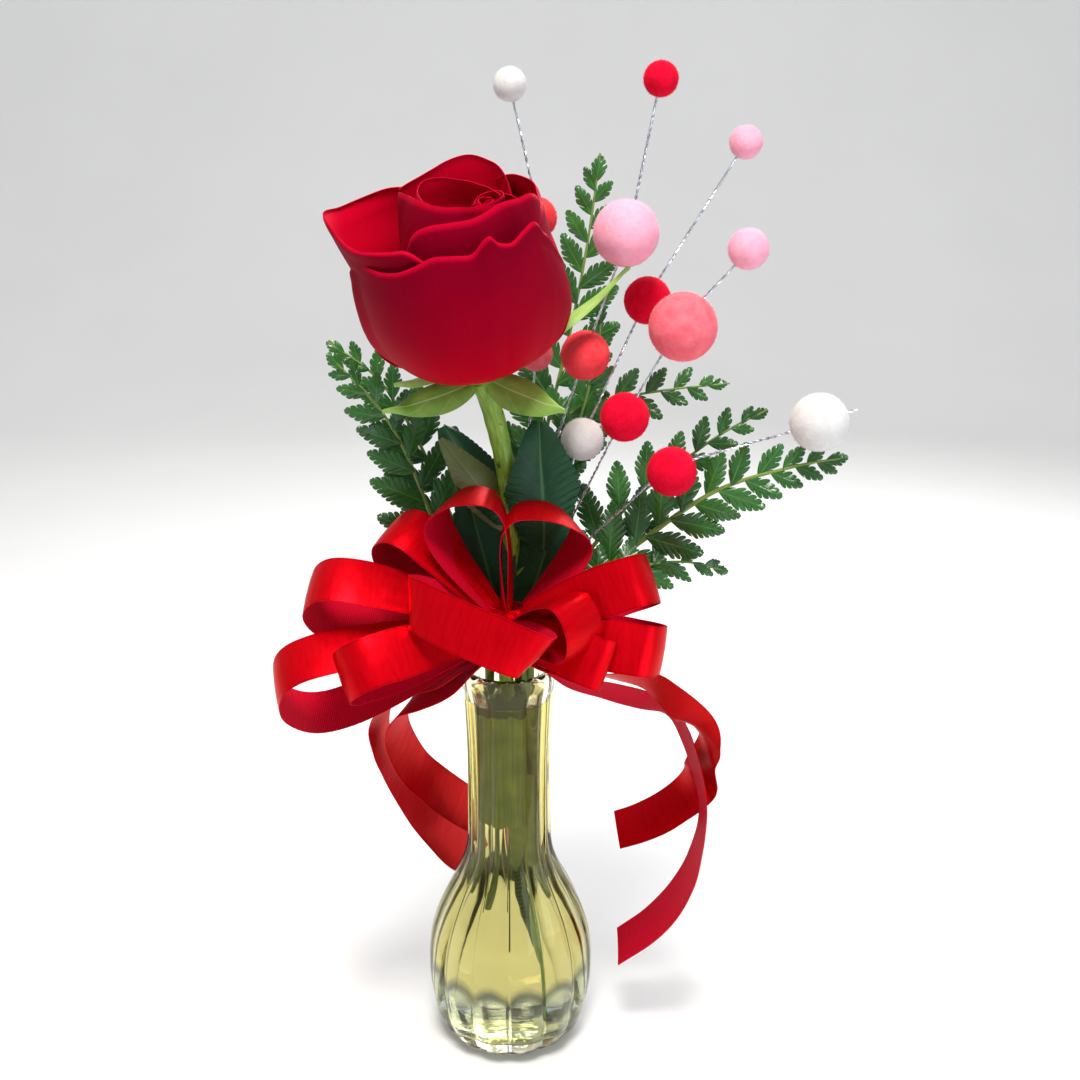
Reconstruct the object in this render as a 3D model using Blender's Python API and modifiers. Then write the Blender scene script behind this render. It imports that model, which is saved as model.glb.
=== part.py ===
"""A red rose in a fluted glass bud vase, with fern, wired felt balls and a satin ribbon bow.

Frame: metres, +Z up, the front is -Y, and the origin is the centre of the vase's foot.
"""

import math
import random

import bmesh
import bpy
import numpy as np
from mathutils import Matrix, Vector

MM = 0.001
UP = Vector((0, 0, 1))
FRONT = Vector((0, -1, 0))
GAP = 0.4 * MM  # between pieces that touch

# The vase: a round foot, a bulb and a long neck, pressed with flutes all the way up.
VASE_HEIGHT = 195 * MM
FLUTES = 14
FLUTE_DEPTH = 1.5 * MM
FLUTE_POINTS = 4  # points round each flute
PLAIN_LIP = 14 * MM  # height of the lip with no flutes
BASE_THICKNESS = 9 * MM
# (height, outer radius, wall) up the vase
VASE_SECTIONS = [
    (0.0, 26.5, 10.0),
    (4.0, 33.0, 7.0),
    (13.0, 37.8, 4.8),
    (26.0, 40.3, 4.0),
    (40.0, 40.7, 3.8),
    (54.0, 39.4, 3.8),
    (67.0, 35.8, 3.8),
    (78.0, 31.0, 3.8),
    (89.0, 25.4, 3.8),
    (101.0, 21.2, 3.8),
    (118.0, 20.1, 3.8),
    (182.0, 21.2, 3.8),
    (190.0, 22.0, 3.9),
    (195.0, 21.6, 3.6),
]
WATER_TOP = 181 * MM
NECK_LEAF_RADIUS = 13.4 * MM
NECK_LEAF_FOOT = 119 * MM
NECK_LEAF_TOP = 187 * MM
INNER_STEPS = 16

# Stems: where each one stands in the neck and where its foot is in the bulb.
MOUTH_Z = 196 * MM
TIE_Z = 208.5 * MM
TIE_RADIUS = 15.4 * MM
TIE_CENTRE = Vector((1.5, 0.5, 0)) * MM

# The rose
ROSE_BASE = Vector((-9.5, -25, 341)) * MM
ROSE_LEAN_LEFT = math.radians(9)
ROSE_LEAN_FORWARD = math.radians(18)
PETAL_THICKNESS = 0.7 * MM
BLOOM_HEIGHT = 0.93  # of the heights given for the petals
BLADE_THICKNESS = 0.65 * MM  # of leaves and leaflets

# The bow
RIBBON_WIDTH = 22 * MM
RIBBON_THICKNESS = 0.7 * MM
KNOT = Vector((1, -31, 229)) * MM

COLOURS = {
    "glass": ((0.86, 0.90, 0.72, 1), 0.05, 0.0),
    "water": ((0.90, 0.93, 0.70, 1), 0.05, 0.0),
    "petal": ((0.50, 0.004, 0.02, 1), 0.55, 0.0),
    "stem": ((0.17, 0.28, 0.05, 1), 0.5, 0.0),
    "fern": ((0.05, 0.19, 0.035, 1), 0.45, 0.0),
    "ribbon": ((0.75, 0.006, 0.012, 1), 0.3, 0.0),
    "wire": ((0.62, 0.64, 0.68, 1), 0.35, 0.6),
    "ball_red": ((0.80, 0.02, 0.06, 1), 0.95, 0.0),
    "ball_coral": ((0.85, 0.13, 0.12, 1), 0.95, 0.0),
    "ball_pink": ((0.88, 0.40, 0.46, 1), 0.95, 0.0),
    "ball_white": ((0.86, 0.84, 0.80, 1), 0.95, 0.0),
}


# ---------------------------------------------------------------- scene helpers


def clear_scene():
    for obj in list(bpy.data.objects):
        bpy.data.objects.remove(obj)


def new_collection(name):
    collection = bpy.data.collections.new(name)
    bpy.context.scene.collection.children.link(collection)
    return collection


def material(name):
    found = bpy.data.materials.get(name)
    if found:
        return found
    colour, roughness, metallic = COLOURS[name]
    made = bpy.data.materials.new(name)
    made.use_nodes = True
    shader = made.node_tree.nodes["Principled BSDF"]
    shader.inputs["Base Color"].default_value = colour
    shader.inputs["Roughness"].default_value = roughness
    shader.inputs["Metallic"].default_value = metallic
    return made


def add_object(name, data, collection):
    obj = bpy.data.objects.new(name, data)
    collection.objects.link(obj)
    return obj


def mesh_of(obj, weld=True):
    """The object's evaluated mesh in world space, with a curve's caps welded."""
    bpy.context.view_layer.update()
    graph = bpy.context.evaluated_depsgraph_get()
    mesh = bpy.data.meshes.new_from_object(obj.evaluated_get(graph))
    mesh.transform(obj.matrix_world)
    if weld:
        edit = bmesh.new()
        edit.from_mesh(mesh)
        bmesh.ops.remove_doubles(edit, verts=edit.verts, dist=0.01 * MM)
        bmesh.ops.recalc_face_normals(edit, faces=edit.faces)
        edit.to_mesh(mesh)
        edit.free()
    return mesh


def one_shell(mesh, name):
    """Keeps the largest closed shell: a hollow sealed by fusing is filled and a loose scrap is dropped."""
    edit = bmesh.new()
    edit.from_mesh(mesh)
    left, shells = set(edit.verts), []
    while left:
        shell, edge_of_it = set(), [left.pop()]
        while edge_of_it:
            vertex = edge_of_it.pop()
            shell.add(vertex)
            near = {edge.other_vert(vertex) for edge in vertex.link_edges} & left
            left -= near
            edge_of_it += near
        shells.append(shell)
    faces = [{face for vertex in shell for face in vertex.link_faces} for shell in shells]
    bulk = [sum(volume_under(face) for face in group) for group in faces]
    largest = max(range(len(shells)), key=lambda k: bulk[k])
    loose = [k for k, amount in enumerate(bulk) if k != largest and amount > 0.004 * bulk[largest]]
    if loose:
        raise RuntimeError(f"{name}: {len(loose)} of the pieces aren't joined to the rest")
    spare = [vertex for k, shell in enumerate(shells) if k != largest for vertex in shell]
    bmesh.ops.delete(edit, geom=spare, context="VERTS")
    edit.to_mesh(mesh)
    edit.free()


def volume_under(face):
    a, rest = face.verts[0].co, [vertex.co for vertex in face.verts[1:]]
    return sum(a.dot(b.cross(c)) for b, c in zip(rest, rest[1:])) / 6


def fuse(name, pieces, operation="UNION", solver="MANIFOLD"):
    """Joins the pieces to the first one, or cuts them from it, as one mesh object of that name."""
    first, rest = pieces[0], pieces[1:]
    helpers = new_collection(name + "_helpers")
    for piece in rest:
        helpers.objects.link(piece)
        WORK.objects.unlink(piece)
    joint = first.modifiers.new("fuse", "BOOLEAN")
    joint.operation = operation
    joint.operand_type = "COLLECTION"
    joint.collection = helpers
    joint.solver = solver
    mesh = mesh_of(first, weld=False)
    one_shell(mesh, name)
    for piece in pieces:
        bpy.data.objects.remove(piece)
    bpy.data.collections.remove(helpers)
    return add_object(name, mesh, WORK)


def keep(obj, colour, smooth_degrees=40):
    """Makes the object a node of the part, in its own material."""
    if obj.type == "MESH":
        obj.data.shade_smooth()
        obj.data.set_sharp_from_angle(angle=math.radians(smooth_degrees))
    obj.data.materials.clear()
    obj.data.materials.append(material(colour))
    if obj.name in WORK.objects:
        WORK.objects.unlink(obj)
    PART.objects.link(obj)
    return obj


# ---------------------------------------------------------------- curves


def smooth_path(points, count, ease=1.0):
    """Count points on a Catmull-Rom curve through the points, closer at its start where ease is under 1."""
    p = np.array(points, float)
    p = np.vstack([2 * p[0] - p[1], p, 2 * p[-1] - p[-2]])
    fine = []
    for i in range(1, len(p) - 2):
        t = np.linspace(0, 1, 24, endpoint=False)[:, None]
        a, b, c, d = p[i - 1], p[i], p[i + 1], p[i + 2]
        square, cube = 2 * a - 5 * b + 4 * c - d, 3 * b - a - 3 * c + d
        fine.append(0.5 * (2 * b + (c - a) * t + square * t**2 + cube * t**3))
    fine = np.vstack(fine + [p[-2][None]])
    run = np.concatenate([[0], np.cumsum(np.linalg.norm(np.diff(fine[:, :3], axis=0), axis=1))])
    wanted = run[-1] * np.linspace(0, 1, count) ** (1 / ease)
    return np.stack([np.interp(wanted, run, fine[:, k]) for k in range(fine.shape[1])], 1)


def tube(name, points, radii, sides=6):
    """A closed round tube through the points, with a radius at each, as a mesh object."""
    curve = bpy.data.curves.new(name, "CURVE")
    curve.dimensions = "3D"
    curve.bevel_mode = "ROUND"
    curve.bevel_depth = 1.0
    curve.bevel_resolution = max(0, (sides - 4) // 2)
    curve.use_fill_caps = True
    spline = curve.splines.new("POLY")
    spline.points.add(len(points) - 1)
    for spot, place, radius in zip(spline.points, points, radii):
        spot.co = (*place, 1)
        spot.radius = radius
    guide = add_object(name, curve, WORK)
    mesh = mesh_of(guide)
    bpy.data.objects.remove(guide)
    return add_object(name, mesh, WORK)


def blade(name, across, along, place, thickness):
    """A thin closed blade: a grid of the unit square moved by place(u, v), u in -1..1 and v in 0..1."""
    edit = bmesh.new()
    bmesh.ops.create_grid(edit, x_segments=across, y_segments=along, size=1)
    for vertex in edit.verts:
        vertex.co = place(vertex.co.x, (vertex.co.y + 1) / 2)
    bmesh.ops.triangulate(edit, faces=edit.faces)
    mesh = bpy.data.meshes.new(name)
    edit.to_mesh(mesh)
    edit.free()
    obj = add_object(name, mesh, WORK)
    wall = obj.modifiers.new("thickness", "SOLIDIFY")
    wall.thickness = thickness
    wall.offset = 0
    return obj


def turned(name, profile, steps):
    """A closed solid turned round Z from (radius, height) points that run from the axis to the axis."""
    mesh = bpy.data.meshes.new(name)
    mesh.from_pydata([(r, 0, z) for r, z in profile], [(i, i + 1) for i in range(len(profile) - 1)], [])
    obj = add_object(name, mesh, WORK)
    screw = obj.modifiers.new("turn", "SCREW")
    screw.steps = steps
    screw.render_steps = steps
    screw.use_merge_vertices = True
    screw.merge_threshold = 0.01 * MM
    screw.use_normal_calculate = True
    solid = mesh_of(obj)
    bpy.data.objects.remove(obj)
    return add_object(name, solid, WORK)


def smoothstep(low, high, x):
    t = min(1.0, max(0.0, (x - low) / (high - low)))
    return t * t * (3 - 2 * t)


# ---------------------------------------------------------------- vase and water


def flute_scale(angle, z):
    """How far the fluted wall stands in from the plain radius, in metres."""
    fade = smoothstep(VASE_HEIGHT, VASE_HEIGHT - PLAIN_LIP, z) * smoothstep(-2 * MM, 6 * MM, z)
    return FLUTE_DEPTH * fade * (1 - abs(math.cos(FLUTES / 2 * angle)))


def cavity_profile(top, inset):
    """(radius, height) points of the vase's inside, drawn in by inset, up to the height top."""
    heights = [z * MM for z, _, _ in VASE_SECTIONS]
    radii = [(r - wall) * MM for _, r, wall in VASE_SECTIONS]
    floor = BASE_THICKNESS + inset
    inside = [(np.interp(z, heights, radii) - inset, z) for z in heights if floor + 4 * MM < z < top]
    low = (np.interp(floor, heights, radii) - inset) * 0.86
    return [(0, floor), (low, floor), *inside, (np.interp(top, heights, radii) - inset, top), (0, top)]


def make_vase():
    profile = [(0, 0)] + [(r * MM, z * MM) for z, r, _ in VASE_SECTIONS]
    lip_radius = VASE_SECTIONS[-1][1] * MM
    profile += [(lip_radius - 1.2 * MM, VASE_HEIGHT + 1.4 * MM), (0, VASE_HEIGHT + 1.4 * MM)]
    outside = turned("vase_outside", profile[::-1], FLUTES * FLUTE_POINTS)
    for vertex in outside.data.vertices:
        radius = math.hypot(vertex.co.x, vertex.co.y)
        if radius > 1 * MM:
            inset = flute_scale(math.atan2(vertex.co.y, vertex.co.x), vertex.co.z)
            vertex.co.x *= (radius - inset) / radius
            vertex.co.y *= (radius - inset) / radius
    inside = turned("vase_inside", cavity_profile(VASE_HEIGHT + 3 * MM, 0)[::-1], INNER_STEPS)
    return keep(fuse("vase", [outside, inside], "DIFFERENCE", "EXACT"), "glass", 25)


def make_water(cutters):
    body = turned("water_body", cavity_profile(WATER_TOP, GAP)[::-1], INNER_STEPS)
    return keep(fuse("water", [body, *cutters], "DIFFERENCE", "MANIFOLD"), "water")


# ---------------------------------------------------------------- stems in the vase

# Each stem is straight in the vase, from its foot (x, y, z) to its place in the mouth (x, y).
STEMS = {
    "rose": ((13, -7, 14), (-1.0, -5.0), 3.4),
    "pick": ((2, 7, 40), (5.0, 4.0), 1.9),
    "frond_1": ((8, 2.5, 15), (9.8, -1.6), 2.0),
    "frond_2": ((9, 8, 64), (11.0, 5.5), 1.4),
    "frond_3": ((-1, 13, 70), (0.5, 11.5), 1.4),
    "frond_4": ((-3, 7, 60), (-1.5, 5.5), 1.5),
    "frond_5": ((-10, 8, 68), (-8.0, 7.0), 1.4),
    "frond_6": ((-9, -1, 64), (-9.5, 0.5), 1.4),
    "frond_7": ((11, -6.5, 145), (7.4, -6.0), 1.3),
    "frond_8": ((5, 13, 76), (6.0, 10.3), 1.3),
}


def stem_line(name):
    """Foot, mouth and radius of a stem inside the vase, in metres."""
    foot, mouth, radius = STEMS[name]
    return Vector(foot) * MM, Vector((mouth[0] * MM, mouth[1] * MM, MOUTH_Z)), radius * MM


def stem_hole(name):
    """The plain hole that a stem stands in, through the top of the water."""
    foot, mouth, radius = stem_line(name)
    run = (mouth - foot).normalized()
    ends = [foot - run * 1.2 * MM, mouth + run * 2 * MM]
    return tube("hole_" + name, ends, [radius + 0.6 * MM] * 2, 6)


# ---------------------------------------------------------------- leaves and fern


def leaflet(name, base, direction, normal, length, width, teeth=2, across=1, deep=0.30, arch=0, droop=0):
    """A leaflet from base along direction, its upper face to normal, with forward teeth that are deep."""
    direction = direction.normalized()
    side = direction.cross(normal).normalized()
    face = side.cross(direction).normalized()

    def place(u, v):
        station = round(v * 2 * teeth)
        tooth = station % 2 == 1
        outline = math.sin(math.pi * (0.10 + 0.88 * v) ** 0.85) ** 0.7
        half = 0.5 * width * outline * (1.0 if tooth else 1 - deep) if station else 0.6 * MM
        forward = (0.05 if tooth else -0.03) if 0 < station < 2 * teeth else 0.0
        lift = arch * width * (1 - u * u) - droop * length * v * v
        return base + direction * (length * (v + forward * abs(u))) + side * (u * half) + face * lift

    return blade(name, across, 2 * teeth, place, BLADE_THICKNESS)


# Each frond: (x, y, z) from above the mouth to the tip, leaflets, the longest one, the way the frond
# faces, and how far along the leaflets start.
FRONDS = {
    "frond_1": (
        [(30, 4, 232), (58, 3, 254), (92, -9, 283), (126, -18, 297), (147, -20, 301)],
        14, 34, (-0.2, -1.0, 0.35), 0.30,
    ),
    "frond_2": (
        [(28, 10, 236), (56, 13, 271), (77, 13, 289), (98, 12, 305), (117, 10, 316)],
        11, 31, (-0.2, -1.0, 0.30), 0.33,
    ),
    "frond_3": (
        [(12, 24, 250), (24, 33, 303), (46, 34, 315), (76, 33, 321), (103, 32, 324)],
        11, 30, (-0.1, -1.0, 0.35), 0.42,
    ),
    "frond_4": (
        [(6, 30, 250), (18, 42, 300), (30, 46, 350), (37, 45, 388), (42, 43, 426)],
        15, 40, (-0.1, -1.0, 0.25), 0.34,
    ),
    "frond_5": (
        [(-18.5, 15, 242), (-36, 20, 288), (-50, 20, 316), (-62, 19, 332), (-80, 18, 345)],
        12, 32, (0.1, -1.0, 0.35), 0.36,
    ),
    "frond_6": (
        [(-22, 4, 236), (-36, 5, 272), (-46, 5, 299), (-58, 4, 320), (-77, 3, 341)],
        11, 34, (0.25, -1.0, 0.30), 0.34,
    ),
    "frond_7": (
        [(22, -9.5, 220), (42, -7.5, 236), (62, -5, 247), (82, -2, 248), (100, 0, 243)],
        8, 27, (-0.1, -1.0, 0.55), 0.36,
    ),
    "frond_8": (
        [(8, 13, 240), (22, 24, 276), (34, 26, 310), (41, 26, 340), (43, 26, 361)],
        8, 27, (-0.1, -1.0, 0.25), 0.42,
    ),
}
STATIONS = 9  # points along a frond's stem above the mouth


def frond_leaflets(key, line, count, longest, face, start, rng):
    """The leaflets of a frond, in alternate rows along its rachis, closer and shorter towards the tip."""
    made = []
    for k in range(count):
        share = k / (count - 1)
        at = start + (0.99 - start) * (1 - (1 - share) ** 1.25)
        spot = at * (len(line) - 1)
        low = min(int(spot), len(line) - 2)
        here = Vector(line[low]).lerp(Vector(line[low + 1]), spot - low)
        along = (Vector(line[low + 1]) - Vector(line[low])).normalized()
        normal = (face - along * face.dot(along)).normalized()
        side = along.cross(normal)
        hand = 1 if k % 2 else -1
        angle = 0.0 if k == count - 1 else math.radians(60 - 24 * share + rng.uniform(-5, 5))
        length = longest * (1 - 0.70 * share**1.5) * rng.uniform(0.93, 1.05) * (0.78 if k < 2 else 1)
        width = 0.36 * length + 1.2 * MM
        tilt = Vector([rng.uniform(-0.16, 0.16) for _ in range(3)])
        direction = along * math.cos(angle) + side * (hand * math.sin(angle)) + tilt * 0.4
        name = f"{key}_leaflet_{k:02d}"
        made.append(leaflet(name, here - direction * 0.3 * MM, direction, normal + tilt, length, width))
    return made


def make_frond(key):
    points, count, longest, face, start = FRONDS[key]
    foot, mouth, radius = stem_line(key)
    above = [Vector(p) * MM for p in points]
    rise = mouth + (mouth - foot).normalized() * 14 * MM
    line = smooth_path([mouth, rise, *above], STATIONS)
    radii = np.interp(np.linspace(0, 1, STATIONS), [0, 0.35, 1], [radius, 0.75 * radius, 0.55 * MM])
    stem = tube(key + "_stem", [foot, *line], [radius, *radii], 4)
    rng = random.Random(key)
    leaves = frond_leaflets(key, line, count, longest * MM, Vector(face).normalized(), start, rng)
    return keep(fuse(key, [stem, *leaves]), "fern")


# ---------------------------------------------------------------- the rose


def rose_matrix():
    """From the bloom's own frame, its axis up +Z, to its place on the stem."""
    lean = Matrix.Rotation(-ROSE_LEAN_LEFT, 4, "Y") @ Matrix.Rotation(ROSE_LEAN_FORWARD, 4, "X")
    return Matrix.Translation(ROSE_BASE) @ lean


def along_rim(points, u):
    """The (angle, radius, height) at u, in -1..1, on a smooth curve through evenly spaced points."""
    spot = (u + 1) / 2 * (len(points) - 1)
    k = min(int(spot), len(points) - 2)
    t = spot - k
    p = [np.array(points[min(max(i, 0), len(points) - 1)], float) for i in (k - 1, k, k + 1, k + 2)]
    return (
        2 * p[1] + (p[2] - p[0]) * t + (2 * p[0] - 5 * p[1] + 4 * p[2] - p[3]) * t**2
        + (3 * p[1] - p[0] - 3 * p[2] + p[3]) * t**3
    ) / 2


def leaned(x, y, z, lean):
    """A point of the bloom, moved sideways by lean (x, y) mm at rim height and less lower down."""
    share = (z / 80) ** 2
    return Vector((x + lean[0] * share, y + lean[1] * share, z * BLOOM_HEIGHT)) * MM


def petal(belly, root, curl, lean, rim):
    """place(u, v) of a petal: out from its root, round its belly and up to its rim, the lip curled out."""
    root_radius, root_height = root
    middle = 0.5 * (rim[0][0] + rim[-1][0])

    def place(u, v):
        angle, radius, height = along_rim(rim, u)
        a, b, c, d = (1 - v) ** 3, 3 * v * (1 - v) ** 2, 3 * v * v * (1 - v), v**3
        r = a * root_radius + b * 1.08 * belly + c * 1.20 * belly + d * (radius - curl)
        z = (a + b + c) * root_height + c * 0.60 * (height - root_height) + d * height
        lip = smoothstep(0.70, 1.0, v)
        r += curl * lip
        turn = math.radians(middle + (angle - middle) * (0.78 + 0.22 * smoothstep(0, 0.4, v)))
        return leaned(r * math.cos(turn), r * math.sin(turn), z, lean)

    return place


# Each petal: belly radius, its root (radius, height), how far the lip curls out, how far its rim leans
# sideways (x, y), columns and rows of the blade, and (angle, radius, height) along its rim.  The angles
# are degrees round the bloom, -90 in front.
PETALS = {
    "front": (38.6, (6, 1), 1.5, (0, 0), 12, 4, [
        (-166, 39.2, 60), (-154, 39.6, 65.5), (-143, 40, 66), (-132, 40, 65.2), (-121, 39.4, 65.6),
        (-110, 38.4, 68), (-100, 37, 70.4), (-88, 36.8, 69.8), (-78, 36.8, 69.4), (-70, 38.2, 75),
        (-63, 38.6, 72), (-56, 38.8, 70.6), (-48, 39.6, 73.5), (-40, 40.1, 74.6), (-33, 39.8, 67.5),
        (-22, 39.2, 58), (-8, 38.6, 48), (6, 38.2, 40)]),
    "back_right": (37.2, (6, 2), 1.0, (0, 0), 4, 3, [
        (-14, 37.2, 40), (12, 37.6, 52), (42, 37.6, 68), (72, 37.6, 71), (100, 37.2, 62),
    ]),
    "back_left": (38.4, (6, 2), 1.0, (0, 0), 5, 3, [
        (84, 38.4, 56), (108, 38.6, 67), (134, 38.8, 64), (160, 38.8, 58), (178, 38.6, 50),
        (190, 38.4, 44)]),
    "left": (36.4, (7, 3), 6.0, (0, 0), 7, 4, [
        (118, 30, 76.5), (132, 35, 78), (147, 40, 77.5), (163, 44, 78.5), (177, 46.6, 81.5),
        (187, 47, 81.5), (197, 44, 76.5), (208, 41, 73.8), (222, 38.4, 73.6), (234, 36.4, 73.8),
        (245, 34.4, 74.2), (256, 32.4, 72.6)]),
    "right": (35.2, (7, 3), 2.5, (0, 0), 4, 3, [
        (-30, 33.0, 66), (-12, 33.6, 70), (4, 34, 72), (17, 34, 75.5), (28, 31.4, 78), (40, 29.4, 77.5),
        (52, 28.6, 75)]),
    "back": (33.0, (8, 6), 2.0, (0, 0), 6, 3, [
        (26, 26, 70), (36, 28.4, 76), (46, 29.8, 80.6), (58, 30, 83), (72, 30, 85.2), (88, 29, 84.2),
        (104, 28, 82), (120, 26.6, 80.2), (140, 25.2, 79.6)]),
    "middle_front": (32.6, (8, 6), 2.0, (2, 0), 7, 3, [
        (-148, 32.4, 70), (-134, 31.2, 74), (-121, 30.2, 77.6), (-106, 29.2, 79.8), (-90, 28.8, 80),
        (-74, 28.4, 79.4), (-59, 28.2, 80.6), (-47, 28.4, 81.8), (-34, 29.2, 80.8), (-22, 31, 80),
        (-12, 32, 76.5)]),
    "middle_right": (29.0, (9, 14), 1.0, (4, 0), 3, 2, [
        (-56, 23, 68), (-28, 24, 70), (0, 24, 70), (30, 23.4, 71), (60, 22.4, 71),
    ]),
    "inner_back": (26.0, (11, 20), 1.0, (4, 0), 3, 2, [
        (40, 21.6, 70), (72, 21.2, 71), (106, 20.8, 72), (140, 20.6, 73), (172, 20.2, 72),
    ]),
    "fold": (23.6, (9, 16), 0.8, (2, 0), 7, 3, [
        (128, 24.4, 74), (146, 24, 79.5), (163, 21.4, 82), (184, 15.6, 82.5), (214, 13.2, 82.2),
        (240, 14.2, 81.4), (262, 15.4, 80.8), (281, 16.8, 80.4), (298, 20.6, 80), (312, 22.6, 79.4),
        (327, 23.4, 78.4)]),
    "cup": (18.6, (8, 34), 0.6, (6, 0), 6, 1, [
        (-20, 15.2, 78.4), (8, 12.4, 78), (32, 11.4, 78), (54, 11.4, 78.5), (76, 13, 79.4),
        (97, 15.2, 80.2), (118, 17.8, 82), (138, 19.2, 83), (158, 18.4, 82), (184, 16, 80.5),
        (212, 13.6, 78)]),
    "heart": (9.0, (5, 44), 0.4, (16.5, -3), 5, 2, [
        (-140, 6.0, 76), (-85, 4.8, 77), (-40, 6.4, 77.8), (10, 5.6, 78), (70, 5.4, 77.6),
        (130, 4.8, 77), (185, 4.2, 75.5),
    ]),
}


def make_bloom():
    pieces = [bloom_core()]
    for key, (belly, root, curl, lean, across, rows, rim) in PETALS.items():
        place = petal(belly, root, curl, lean, rim)
        pieces.append(blade("petal_" + key, across, rows, place, PETAL_THICKNESS))
    bloom = fuse("rose_bloom", pieces)
    bloom.data.transform(rose_matrix())
    return keep(bloom, "petal")


def bloom_core():
    """The solid heart that every petal is rooted in: a wide base and a furled bud."""
    profile = [(0, 0.4), (6, 0.4), (13, 4), (17, 11), (16, 26), (11.5, 42), (7.5, 58), (4.2, 70), (0, 72)]
    core = turned("bloom_core", [(r * MM, z * MM) for r, z in profile][::-1], 8)
    for vertex in core.data.vertices:
        vertex.co = leaned(*(vertex.co / MM), (16.5, -3))
    return core


# angle round the bloom in degrees, length, width and how far it hangs in mm, and how far its face turns
SEPALS = [
    (-150, 43, 17, 0, 38), (-46, 42, 19, 7, -38), (20, 68, 11, -24, 0), (92, 34, 12, 6, 0),
    (166, 36, 12, 6, 0),
]


def make_sepal(k, angle, length, width, hang, twist):
    angle, twist = math.radians(angle), math.radians(twist)
    out = Vector((math.cos(angle), math.sin(angle), 0))
    side = Vector((-math.sin(angle), math.cos(angle), 0))

    def place(u, v):
        half = 0.5 * width * MM * (0.34 * (1 - v) + 3.2 * v * (1 - v) ** 1.5) + 0.5 * MM
        fall = hang * MM * v**1.5 - 1.5 * MM * math.sin(math.pi * v)
        drop = 2.4 * MM + fall + 1.6 * MM * u * u + (0.8 * abs(math.sin(twist)) + u * math.sin(twist)) * half
        return out * (4 * MM + length * MM * v) + side * (u * half * math.cos(twist)) - UP * drop

    sepal = blade(f"sepal_{k}", 2, 4, place, 0.8 * MM)
    sepal.data.transform(rose_matrix())
    return sepal


# base, tip (x, y, z), facing, width, teeth on each side
ROSE_LEAVES = [
    ((16, -12, 256), (15, -21, 319), (0.25, -1.0, 0.30), 36, 5),
    ((3, -12, 268), (-28, -15.5, 315.5), (0.45, -0.8, 0.70), 27, 4),
    ((-4, -9, 252), (-19, -14, 292), (0.1, -1.0, -0.15), 28, 3),
    ((9, -9, 246), (27, -13, 286), (-0.2, -1.0, -0.10), 26, 3),
]


def make_rose_stem():
    foot, mouth, radius = stem_line("rose")
    above = [Vector(p) * MM for p in [(2.5, -3.6, 222), (2, -9, 250), (1.5, -15, 285), (-4.2, -20.5, 318)]]
    line = smooth_path([mouth, *above, ROSE_BASE - UP * 6 * MM], 9)
    swell = [1, 1, 1.05, 1.12, 1.2, 1.26, 1.3, 1.3, 1.3, 1.25]
    stem = tube("rose_stem_tube", [foot, *line], [radius * share for share in swell], 6)
    pieces = [stem, make_receptacle()]
    pieces += [make_sepal(k, *sepal) for k, sepal in enumerate(SEPALS)]
    for k, (base, tip, face, width, teeth) in enumerate(ROSE_LEAVES):
        base, tip = Vector(base) * MM, Vector(tip) * MM
        away = tip - base
        leaf = leaflet(
            f"rose_leaf_{k}", base, away, Vector(face), away.length, width * MM, teeth, 2, 0.10, 0.10, 0.05
        )
        low = Vector((1, -11 + k, base.z / MM - 14)) * MM
        half_way = Vector((0.6 * base.x + 0.5 * MM, 0.6 * base.y - 4.4 * MM, base.z - 5 * MM))
        stalk = [low, half_way, base, base + away.normalized() * 4 * MM]
        pieces += [leaf, tube(f"leaf_stalk_{k}", stalk, [1.1 * MM, 1.0 * MM, 0.9 * MM, 0.7 * MM], 4)]
    return keep(fuse("rose_stem", pieces), "stem")


def make_receptacle():
    """The swollen cup under the bloom, which the sepals grow from."""
    profile = [(0, -9), (3.8, -9), (6.4, -5), (7.2, -2), (5.4, 0), (0, 0)]
    cup = turned("receptacle", [(r * MM, z * MM) for r, z in profile][::-1], 10)
    cup.data.transform(rose_matrix())
    return cup


# ---------------------------------------------------------------- felt balls on wires

WIRE_RADIUS = 0.6 * MM
# Each wire: where it bends, then the balls on it from the lowest to the tip as (colour, (x, y, z),
# diameter), and how far it goes on past the last one.
WIRES = [
    ((9, 10, 262), [
        ("coral", (34.6, 0, 342), 22),
        ("pink", (51, -5, 394), 28.5),
        ("red", (64.4, 0, 455), 15),
    ], 2),
    ((15, 4, 250), [
        ("white", (33.7, -2, 305.2), 19.5),
        ("red", (62.4, 14, 364), 21.5),
        ("pink", (105, 30, 430.6), 15),
    ], 2),
    ((22, 3, 252), [
        ("red", (51, -20, 318.8), 21.5),
        ("pink", (73.8, -26, 357.7), 29),
        ("pink", (98.6, -30, 389.3), 17),
    ], 2),
    ((26, 4, 246), [("red", (71.5, -22, 295.5), 22), ("white", (130.7, -34, 319.5), 25)], 16),
    ((7, 13, 275), [
        ("pink", (13, 14, 340.5), 16),
        ("coral", (13.5, 20, 399), 18.5),
        ("white", (2, 30, 454.4), 15),
    ], 2),
]


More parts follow.
